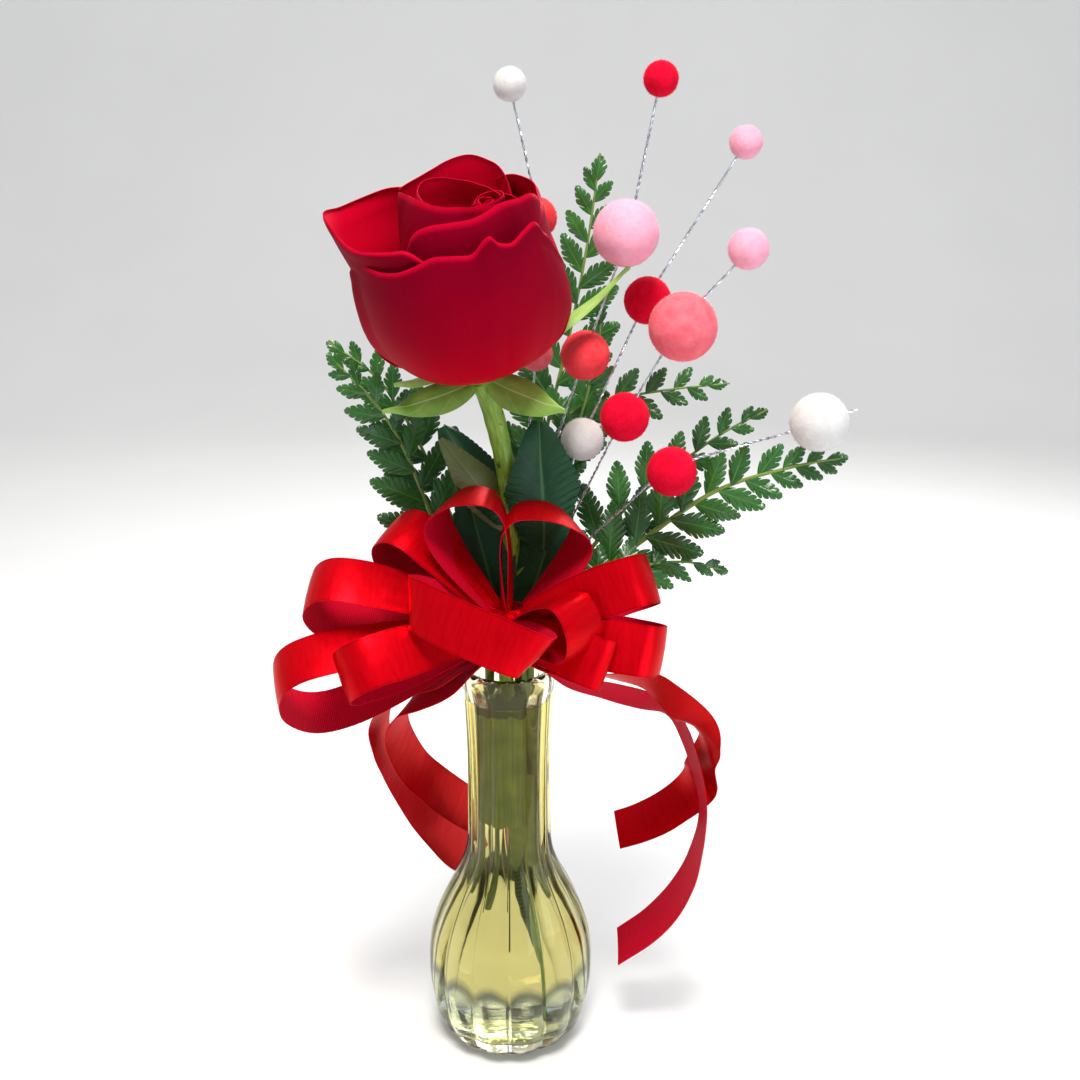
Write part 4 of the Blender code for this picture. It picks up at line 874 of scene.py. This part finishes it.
def add_rose_leaf(shells, k):
    """A leaf on its stalk. The folded one also turns a flap of its under side to the front."""
    base, tip, face, width = (np.array(part, float) for part in ROSE_LEAVES[k])
    away = tip - base
    length = np.linalg.norm(away)
    tone, fold = (0.2, 0.0) if k == FOLDED_LEAF else (0.5 * (k % 2), 0.14)
    cut_leaf(shells, base, away, face, length, width, 18, (1, 2), tone, fold=fold, **ROSE_LEAF)
    if k == FOLDED_LEAF:
        front, across = unit(face), unit(np.cross(away, face))
        cut_leaf(
            shells, base + front * 1.6 - across * 3.2, away - across * 2, front - across * 0.25,
            0.93 * length, 0.74 * width, 16, (2, 1), 0.7, **ROSE_LEAF)
    low = np.array([1, min(-11 + k, -9), base[2] - 14])
    half_way = np.array([0.6 * base[0] + 0.5, 0.6 * base[1] - 4.4, base[2] - 5])
    stalk = smooth_path([low, half_way, base, base + unit(away) * 6], 24)
    tube_shell(shells, stalk, np.linspace(1.1, 0.6, 24), 8, 0)


def make_rose_stem():
    foot, mouth, radius = stem_line("rose")
    line = smooth_path([mouth, *STEM_ABOVE, np.array(ROSE_BASE) / MM - [0, 0, 6]], 60)
    path = np.vstack([np.linspace(foot, mouth, 20, endpoint=False), line])
    step = np.arange(len(path))
    knobs = 0.12 * np.sin(step * 0.55) + 0.10 * np.sin(step * 1.7)
    swell = np.interp(path[:, 2], [200, 222, 250, 285, 330], [1.0, 1.05, 1.15, 1.27, 1.3])
    shells = Shells()
    tube_shell(shells, path, radius * swell + knobs, 20, 0)
    for far, turn, size in THORNS:
        add_thorn(shells, path[int(far * (len(path) - 1))], radius, turn, size)
    for k in range(len(ROSE_LEAVES)):
        add_rose_leaf(shells, k)
    stem = shells.build("rose_stem_and_leaves", [ROSE_STEM, LEAF_TOP, LEAF_UNDER], 50)
    dress(stem, "stem", "rose_stem")


# ---- felt balls on wires

# Each wire: where it bends out, its balls (colour, centre, diameter) and how far it goes past the middle
# of the last one.
WIRES = [
    ((9, 10, 262), [
        ("coral", (34.6, 0, 342), 22), ("pink", (51, -5, 394), 28.5), ("red", (64.4, 0, 455), 15)], 2),
    ((15, 4, 250), [
        ("white", (33.7, -2, 305.2), 19.5), ("red", (62.4, 14, 364), 21.5),
        ("pink", (105, 30, 430.6), 15)], 2),
    ((22, 3, 252), [
        ("red", (51, -20, 318.8), 21.5), ("pink", (73.8, -26, 357.7), 29),
        ("pink", (98.6, -30, 389.3), 17)], 2),
    ((26, 4, 246), [
        ("red", (71.5, -22, 295.5), 22), ("white", (130.7, -34, 319.5), 25)], 16),
    ((7, 13, 275), [
        ("pink", (13, 14, 340.5), 16), ("coral", (13.5, 20, 399), 18.5),
        ("white", (2, 30, 454.4), 15)], 2),
]
PALE_BALLS = ("ball_02", "ball_06", "ball_09")
WIRE_STRAND, WIRE_PITCH = 0.33, 5.5
FIBRE_FOOT = 0.13  # radius of the three corners that a fibre starts from


def wobble(way, seed):
    """A gentle lumpiness over a ball, the same each run."""
    draw = np.random.default_rng(seed)
    lumps = np.zeros(len(way))
    for _ in range(14):
        axis = unit(draw.normal(size=3))
        height, waves, start = draw.uniform(0.3, 1.0), draw.uniform(2.5, 9.0), draw.uniform(0, 6.28)
        lumps += height * np.sin(waves * way @ axis + start)
    return lumps / 5


def make_ball(name, colour, centre, diameter, seed):
    """A lumpy ball under short fibres that lean each its own way, spread evenly round it on a spiral."""
    radius = 0.5 * diameter
    polar, turns = np.linspace(0, math.pi, 34), np.linspace(0, TURN, 56, endpoint=False)
    T, A = np.meshgrid(polar, turns, indexing="ij")
    way = np.stack([np.sin(T) * np.cos(A), np.sin(T) * np.sin(A), np.cos(T)], -1)
    lumps = wobble(way.reshape(-1, 3), seed).reshape(T.shape)
    r = (radius - 0.35) * (1 + 0.012 * lumps)
    shells = Shells()
    lathe_shell(shells, centre + (way * r[..., None])[::-1])

    draw = np.random.default_rng(seed)
    count = int(3.4 * radius * radius) + 1500
    k = np.arange(count) + 0.5
    high = 1 - 2 * k / count
    turn = math.pi * (1 + 5**0.5) * k
    flat = np.sqrt(1 - high * high)
    way = np.stack([flat * np.cos(turn), flat * np.sin(turn), high], 1)
    out = unit(way + draw.normal(0, 0.04, (count, 3)))
    lean = unit(out + draw.normal(0, 0.45, (count, 3)))
    foot = centre + out * (radius - 0.75)
    tip = foot + lean * draw.uniform(0.7, 1.25, count)[:, None]
    a = unit(np.cross(out, draw.normal(size=(count, 3)))) * FIBRE_FOOT
    b = 0.87 * np.cross(out, a)
    points = np.stack([foot + a, foot - 0.5 * a + b, foot - 0.5 * a - b, tip], 1).reshape(-1, 3)
    start = 4 * np.arange(count)
    faces = []
    for i, j, m in ((0, 1, 3), (1, 2, 3), (2, 0, 3), (2, 1, 0)):
        faces += zip(start + i, start + j, start + m)
    spare = np.repeat(draw.uniform(0.0, 1.0, count), 4)
    shells.add(points, faces, 0, np.stack([0 * spare, 0 * spare, spare], 1))
    shade = "pale" if name in PALE_BALLS else colour
    dress(shells.build(name + "_felt", [FELTS[shade]], 180), "ball_" + colour, name)


def add_twisted(shells, path):
    """Two thin wires twisted together along a path."""
    spacing = 0.75
    count = max(12, int(distances(path)[-1] / spacing))
    line = smooth_path(path, count)
    along = unit(np.gradient(line, axis=0))
    side = unit(np.cross(along, [0.3, 0.9, 0.1]))
    other = np.cross(along, side)
    turn = np.arange(count) * spacing / WIRE_PITCH * TURN
    offset = 0.30 * (np.cos(turn)[:, None] * side + np.sin(turn)[:, None] * other)
    for hand in (1, -1):
        tube_shell(shells, line + hand * offset, WIRE_STRAND, 6, 0)


def wire_route(start, bend, centres, diameters, past):
    """The wire's corners from its start: it bends out and passes through its balls."""
    route = [start, bend]
    for i, (centre, diameter) in enumerate(zip(centres, diameters)):
        before = centres[i - 1] if i else bend
        last = i + 1 == len(centres)
        after = 2 * centre - before if last else centres[i + 1]
        along = unit(unit(centre - before) + unit(after - centre))
        half = 0.5 * diameter + 0.8
        route += [centre - along * half, centre + along * (past if last else half)]
    return route


def make_pick():
    """A taped pick that stands in the vase, with its wires and their balls."""
    foot, mouth, radius = stem_line("pick")
    gather = mouth + unit(mouth - foot) * 15
    shells = Shells()
    tube_shell(shells, np.linspace(foot, gather, 60), radius + 0.08 * np.sin(np.arange(60) * 1.3), 14, 1)
    count = 0
    for bend, balls, past in WIRES:
        colours, centres, diameters = zip(*balls)
        centres = np.array(centres, float)
        for colour, centre, diameter in zip(colours, centres, diameters):
            count += 1
            make_ball(f"ball_{count:02d}", colour, centre, diameter, 40 + count)
        route = wire_route(gather - [0, 0, 4], np.array(bend, float), centres, diameters, past)
        fine = [route[0]]
        for a, b in zip(route, route[1:]):
            steps = max(2, int(np.linalg.norm(b - a) / 6))
            fine += [a + (b - a) * t for t in np.linspace(0, 1, steps + 1)[1:]]
        add_twisted(shells, np.array(fine))
    dress(shells.build("twisted_wires", [WIRE, TAPE], 50), "wire", "pick_wires")


# ---- ribbon

RIBBON_WIDTH, RIBBON_THICKNESS = 22, 0.35
KNOT = np.array([1.0, -31.0, 229.0])
TIE_CENTRE = np.array([1.5, 0.5, 208.5])
TIE_RADIUS, TIE_WIDTH, TIE_THICKNESS = 15.4, 10.0, 0.4
# Each loop: its tip, the way that the ribbon's width goes, how far apart its two sides are, and how many
# degrees it twists from one side to the other.
LOOPS = {
    "left_high": ((-86, -31, 242), (0.05, 0.80, 0.60), 34, 0),
    "left_top": ((-52, -20, 268), (0.50, 0.76, 0.40), 26, 10),
    "up_left": ((-18, -35, 288), (0.22, 0.96, 0.12), 30, -28),
    "up_right": ((20, -35, 281), (-0.14, 0.95, 0.24), 34, -28),
    "front": ((-16, -71, 242), (0.24, -0.05, 0.97), 60, 50),
    "small_right": ((33, -62, 239), (0.50, 0.86, 0.02), 24, 0),
    "low_front": ((43, -60, 221), (-0.05, 0.48, 0.86), 13, 0),
    "right_low": ((68, -43, 221), (-0.05, 0.30, 0.95), 30, -14),
    "right_high": ((64, -31, 250), (-0.42, 0.40, 0.82), 34, 20),
    "left_low": ((-99, -41, 198), (0.00, 0.80, 0.60), 44, 0),
    "left_inner": ((-68, -61, 216), (0.15, 0.62, 0.76), 28, 0),
}
# One side of a loop: shares of the way out to the tip and of the distance between the sides.
LOOP_SHAPE = [(0.02, 0.02), (0.32, 0.26), (0.64, 0.46), (0.84, 0.50), (0.95, 0.35), (1.0, 0.0)]
# The wraps round the knot: how much each leans, and its width.
WRAPS = [(0.0, 16.8), (0.35, 12.0), (-0.3, 13.2)]
# Each tail: its middle points, with the way that the width of the ribbon goes at each of them.
TAILS = {
    "tail_right_short": [
        (2.5, -31, 219.6, 0, 1, 0), (9, -31.8, 215.6, 0, 1, -0.1), (20, -33.5, 211, 0, 0.97, -0.2),
        (36, -35, 207.5, 0, 0.93, -0.35), (50, -35.5, 205.8, -0.1, 0.85, -0.5),
        (63, -37, 204, -0.25, 0.76, -0.6), (71, -40, 199.5, -0.3, 0.68, -0.66),
        (79, -40.5, 192, -0.3, 0.62, -0.72), (85.5, -38, 184, -0.2, 0.74, -0.64),
        (89, -34, 176, -0.1, 0.88, -0.46), (91, -29, 168.5, -0.07, 0.94, -0.32),
        (91.5, -22, 157.5, -0.25, 0.93, -0.27), (91, -14, 146.5, -0.45, 0.86, -0.25),
        (89.5, -7, 137, -0.5, 0.85, -0.12), (84.5, -2, 128, -0.5, 0.84, 0.1),
        (75, 1, 118.5, -0.42, 0.85, 0.28), (64, 3, 111.5, -0.3, 0.87, 0.36),
        (53, 4, 107, -0.15, 0.9, 0.4)],
    "tail_right_long": [
        (3.0, -31, 217.9, 0, -1, 0), (9, -31, 213.0, 0, -1, 0.1), (17, -29.5, 207, 0, -0.9, 0.35),
        (30, -27, 199.5, 0, -0.8, 0.6), (47.5, -22.5, 193, 0, -0.73, 0.68),
        (62, -18, 186.5, 0, -0.71, 0.7), (73, -16, 181, 0.09, -0.8, 0.59),
        (79.5, -16, 174, 0.22, -0.93, 0.27), (84, -19, 164, 0.18, -0.95, 0.25),
        (87, -23, 155, 0.13, -0.95, 0.27), (89, -26, 146.5, 0.09, -0.95, 0.29),
        (90.4, -27, 134, 0.02, -0.95, 0.3), (89.5, -26, 118, 0.04, -0.95, 0.28),
        (86, -22, 98.5, 0.16, -0.93, 0.3), (79, -16, 79, 0.2, -0.97, 0.05),
        (68.5, -9, 61, 0.14, -0.97, -0.15), (54, -3, 45, -0.05, -0.93, -0.35)],
    "tail_left_short": [
        (-0.5, -31, 218.3, 0, -1, 0), (-13, -30.5, 210, 0, -0.99, -0.1),
        (-26, -28, 200.5, 0, -0.93, -0.35), (-38, -24.5, 192.5, -0.1, -0.93, -0.3),
        (-47.5, -21, 184, -0.16, -0.97, 0.1), (-51.3, -16, 173, -0.33, -0.94, 0.1),
        (-50.2, -10, 160.5, -0.4, -0.9, 0), (-45, -2, 144.5, -0.45, -0.88, -0.1),
        (-36, 6, 130, -0.45, -0.87, -0.2), (-27, 16, 116.5, -0.42, -0.85, -0.3),
        (-19, 26, 105, -0.34, -0.86, -0.35), (-11, 34, 96, -0.3, -0.88, -0.35)],
    "tail_left_long": [
        (-1.0, -31, 219.6, 0, -1, 0), (-14, -31, 213.5, 0, -0.99, -0.1),
        (-30, -25, 204.3, 0, -0.93, -0.35), (-44, -18.5, 197, -0.1, -0.93, -0.3),
        (-54.5, -14.5, 187, -0.2, -0.95, -0.1), (-59.5, -12.5, 174.5, -0.3, -0.92, 0.15),
        (-59, -10, 161, -0.26, -0.94, 0.22), (-56.4, -6, 150, -0.28, -0.94, 0.18),
        (-51, 2, 133, -0.34, -0.93, 0.1), (-44, 11, 114.5, -0.42, -0.9, 0),
        (-36.5, 20, 98, -0.42, -0.87, -0.2), (-29, 30, 82, -0.4, -0.86, -0.3),
        (-20, 44, 67, -0.35, -0.9, -0.25)],
}


def ribbon_strip(shells, spots, ways, widths, columns, cup, outside, seed, thickness=RIBBON_THICKNESS):
    """A satin strip through its middle points, cupped across and folded where it is pinched narrow. Its
    satin side faces away from the point outside. Returns its length."""
    run = unit(np.gradient(spots, axis=0))
    ways = unit(ways - run * np.sum(ways * run, axis=1, keepdims=True))
    normal = np.cross(ways, run)
    far = distances(spots)
    u = np.linspace(-1, 1, columns)
    side = 1.0 if outside is None or np.sum(normal * (spots - outside)) > 0 else -1.0
    pinch = (1 - widths / widths.max())[:, None]
    lift = cup * side * (1 - u**2) + 1.6 * pinch * np.sin(9.5 * u + seed)
    across = (0.5 * widths)[:, None] * u
    grid = spots[:, None, :] + across[..., None] * ways[:, None, :] + lift[..., None] * normal[:, None, :]
    U, F = np.meshgrid(u, far)
    sheet_shell(shells, grid, thickness, (U, F, seed), 0.0, (0, 1) if side > 0 else (1, 0))
    return far[-1]


def add_loop(shells, key, seed):
    """One loop of the bow, out from the knot and back. Returns its length."""
    tip, way, apart, turn = LOOPS[key]
    reach = np.array(tip, float) - KNOT
    out = unit(reach)
    way = np.array(way, float)
    way = unit(way - out * way.dot(out))
    across = np.cross(out, way)
    rows = []
    for far, side in LOOP_SHAPE + [(far, -side) for far, side in LOOP_SHAPE[-2::-1]]:
        width = RIBBON_WIDTH * (0.30 + 0.70 * float(smoothstep(0.05, 0.5, far)))
        twist = np.array(Matrix.Rotation(math.radians(turn * side), 3, Vector(out))) @ way
        rows.append([*(KNOT + reach * far + across * (side * apart)), *twist, width])
    fine = smooth_path(rows, 72)
    return ribbon_strip(shells, fine[:, :3], fine[:, 3:6], fine[:, 6], 11, 0.5, KNOT + reach * 0.6, seed)


def add_wrap(shells, k, lean, width):
    """One wrap of ribbon round the knot. Returns its length."""
    turns = np.linspace(-0.2, TURN - 0.1, 40)
    wide, deep = 7.0 + k * 0.5, 6.2 + k * 0.5
    spots = KNOT + np.stack([wide * np.cos(turns), deep * np.sin(turns), 3.0 * lean * np.sin(turns)], 1)
    ways = np.tile([lean, 0.0, 1.0], (40, 1))
    return ribbon_strip(shells, spots, ways, np.full(40, width), 9, 0.8, KNOT, k)


def make_bow():
    shells = Shells()
    length = sum(add_loop(shells, key, 3.1 * k) for k, key in enumerate(LOOPS))
    length += sum(add_wrap(shells, k, *wrap) for k, wrap in enumerate(WRAPS))
    tied = TIE_CENTRE - [0, TIE_RADIUS + 1.4, 0]
    fold = smooth_path([KNOT, KNOT + [0, 9, 0], tied + [0, -5, 5], tied + [0, -2.5, 0], tied], 20)
    tube_shell(shells, fold, np.linspace(3.0, 2.2, 20), 12, 0)
    bow = dress(shells.build("satin_bow", [SATIN, RIBBED], 60), "ribbon", "ribbon_bow")


def make_tail(key, seed):
    fine = smooth_path(TAILS[key], 110)
    widths = RIBBON_WIDTH * (0.32 + 0.68 * smoothstep(0.0, 0.16, np.linspace(0, 1, 110)))
    shells = Shells()
    length = ribbon_strip(shells, fine[:, :3], fine[:, 3:6], widths, 11, 0.35, None, seed)
    tail = dress(shells.build("satin_" + key, [SATIN, RIBBED], 60), "ribbon", key)


def make_tie():
    """The narrow ribbon that is pulled tight round the stems."""
    turns = np.linspace(0, TURN * 0.998, 90)
    radius = TIE_RADIUS + 0.5
    spots = TIE_CENTRE + np.stack([radius * np.cos(turns), radius * np.sin(turns), 0 * turns], 1)
    ways = np.tile([0.0, 0.0, 1.0], (90, 1))
    shells = Shells()
    length = ribbon_strip(
        shells, spots, ways, np.full(90, TIE_WIDTH), 7, 0.25, TIE_CENTRE, 2, thickness=TIE_THICKNESS)
    tie = dress(shells.build("ribbon_tie", [SATIN, RIBBED], 60), "ribbon", "bow_tie")


# ---- leaf packed in the neck

NECK_LEAF_RADIUS, NECK_LEAF_FOOT, NECK_LEAF_TOP = 13.4, 119, 187
NECK_LEAF_MIDDLE, NECK_LEAF_SPREAD = -102, 50


def make_neck_leaf():
    U, V = np.meshgrid(np.linspace(-1, 1, 41), np.linspace(0, 1, 61))
    angle = np.radians(NECK_LEAF_MIDDLE + U * NECK_LEAF_SPREAD)
    ragged = 1.5 * np.cos(9 * U) * smoothstep(0.9, 1.0, V) + 0.7 * np.sin(31 * U) * smoothstep(0.95, 1.0, V)
    ragged += 0.8 * np.sin(13 * U) * smoothstep(0.06, 0.0, V)
    z = NECK_LEAF_FOOT + (NECK_LEAF_TOP - NECK_LEAF_FOOT) * V + ragged
    radius = NECK_LEAF_RADIUS + 0.25 * np.sin(5 * U + 6 * V)
    grid = np.stack([radius * np.cos(angle), radius * np.sin(angle), z], -1)
    shells = Shells()
    sheet_shell(shells, grid, 0.6, (U, V, 0), 0.4, (0, 0))
    dress(shells.build("rolled_neck_leaf", [NECK_LEAF], 60), "stem", "neck_leaf")


# ---- everything

make_camera()
make_lights()
make_sky()
make_floor()
make_vase()
make_water()
for key in FRONDS:
    make_frond(key)
make_bloom()
make_rose_stem()
make_sepals()
make_pick()
make_tie()
make_bow()
for k, key in enumerate(TAILS):
    make_tail(key, 1.3 * k)
make_neck_leaf()
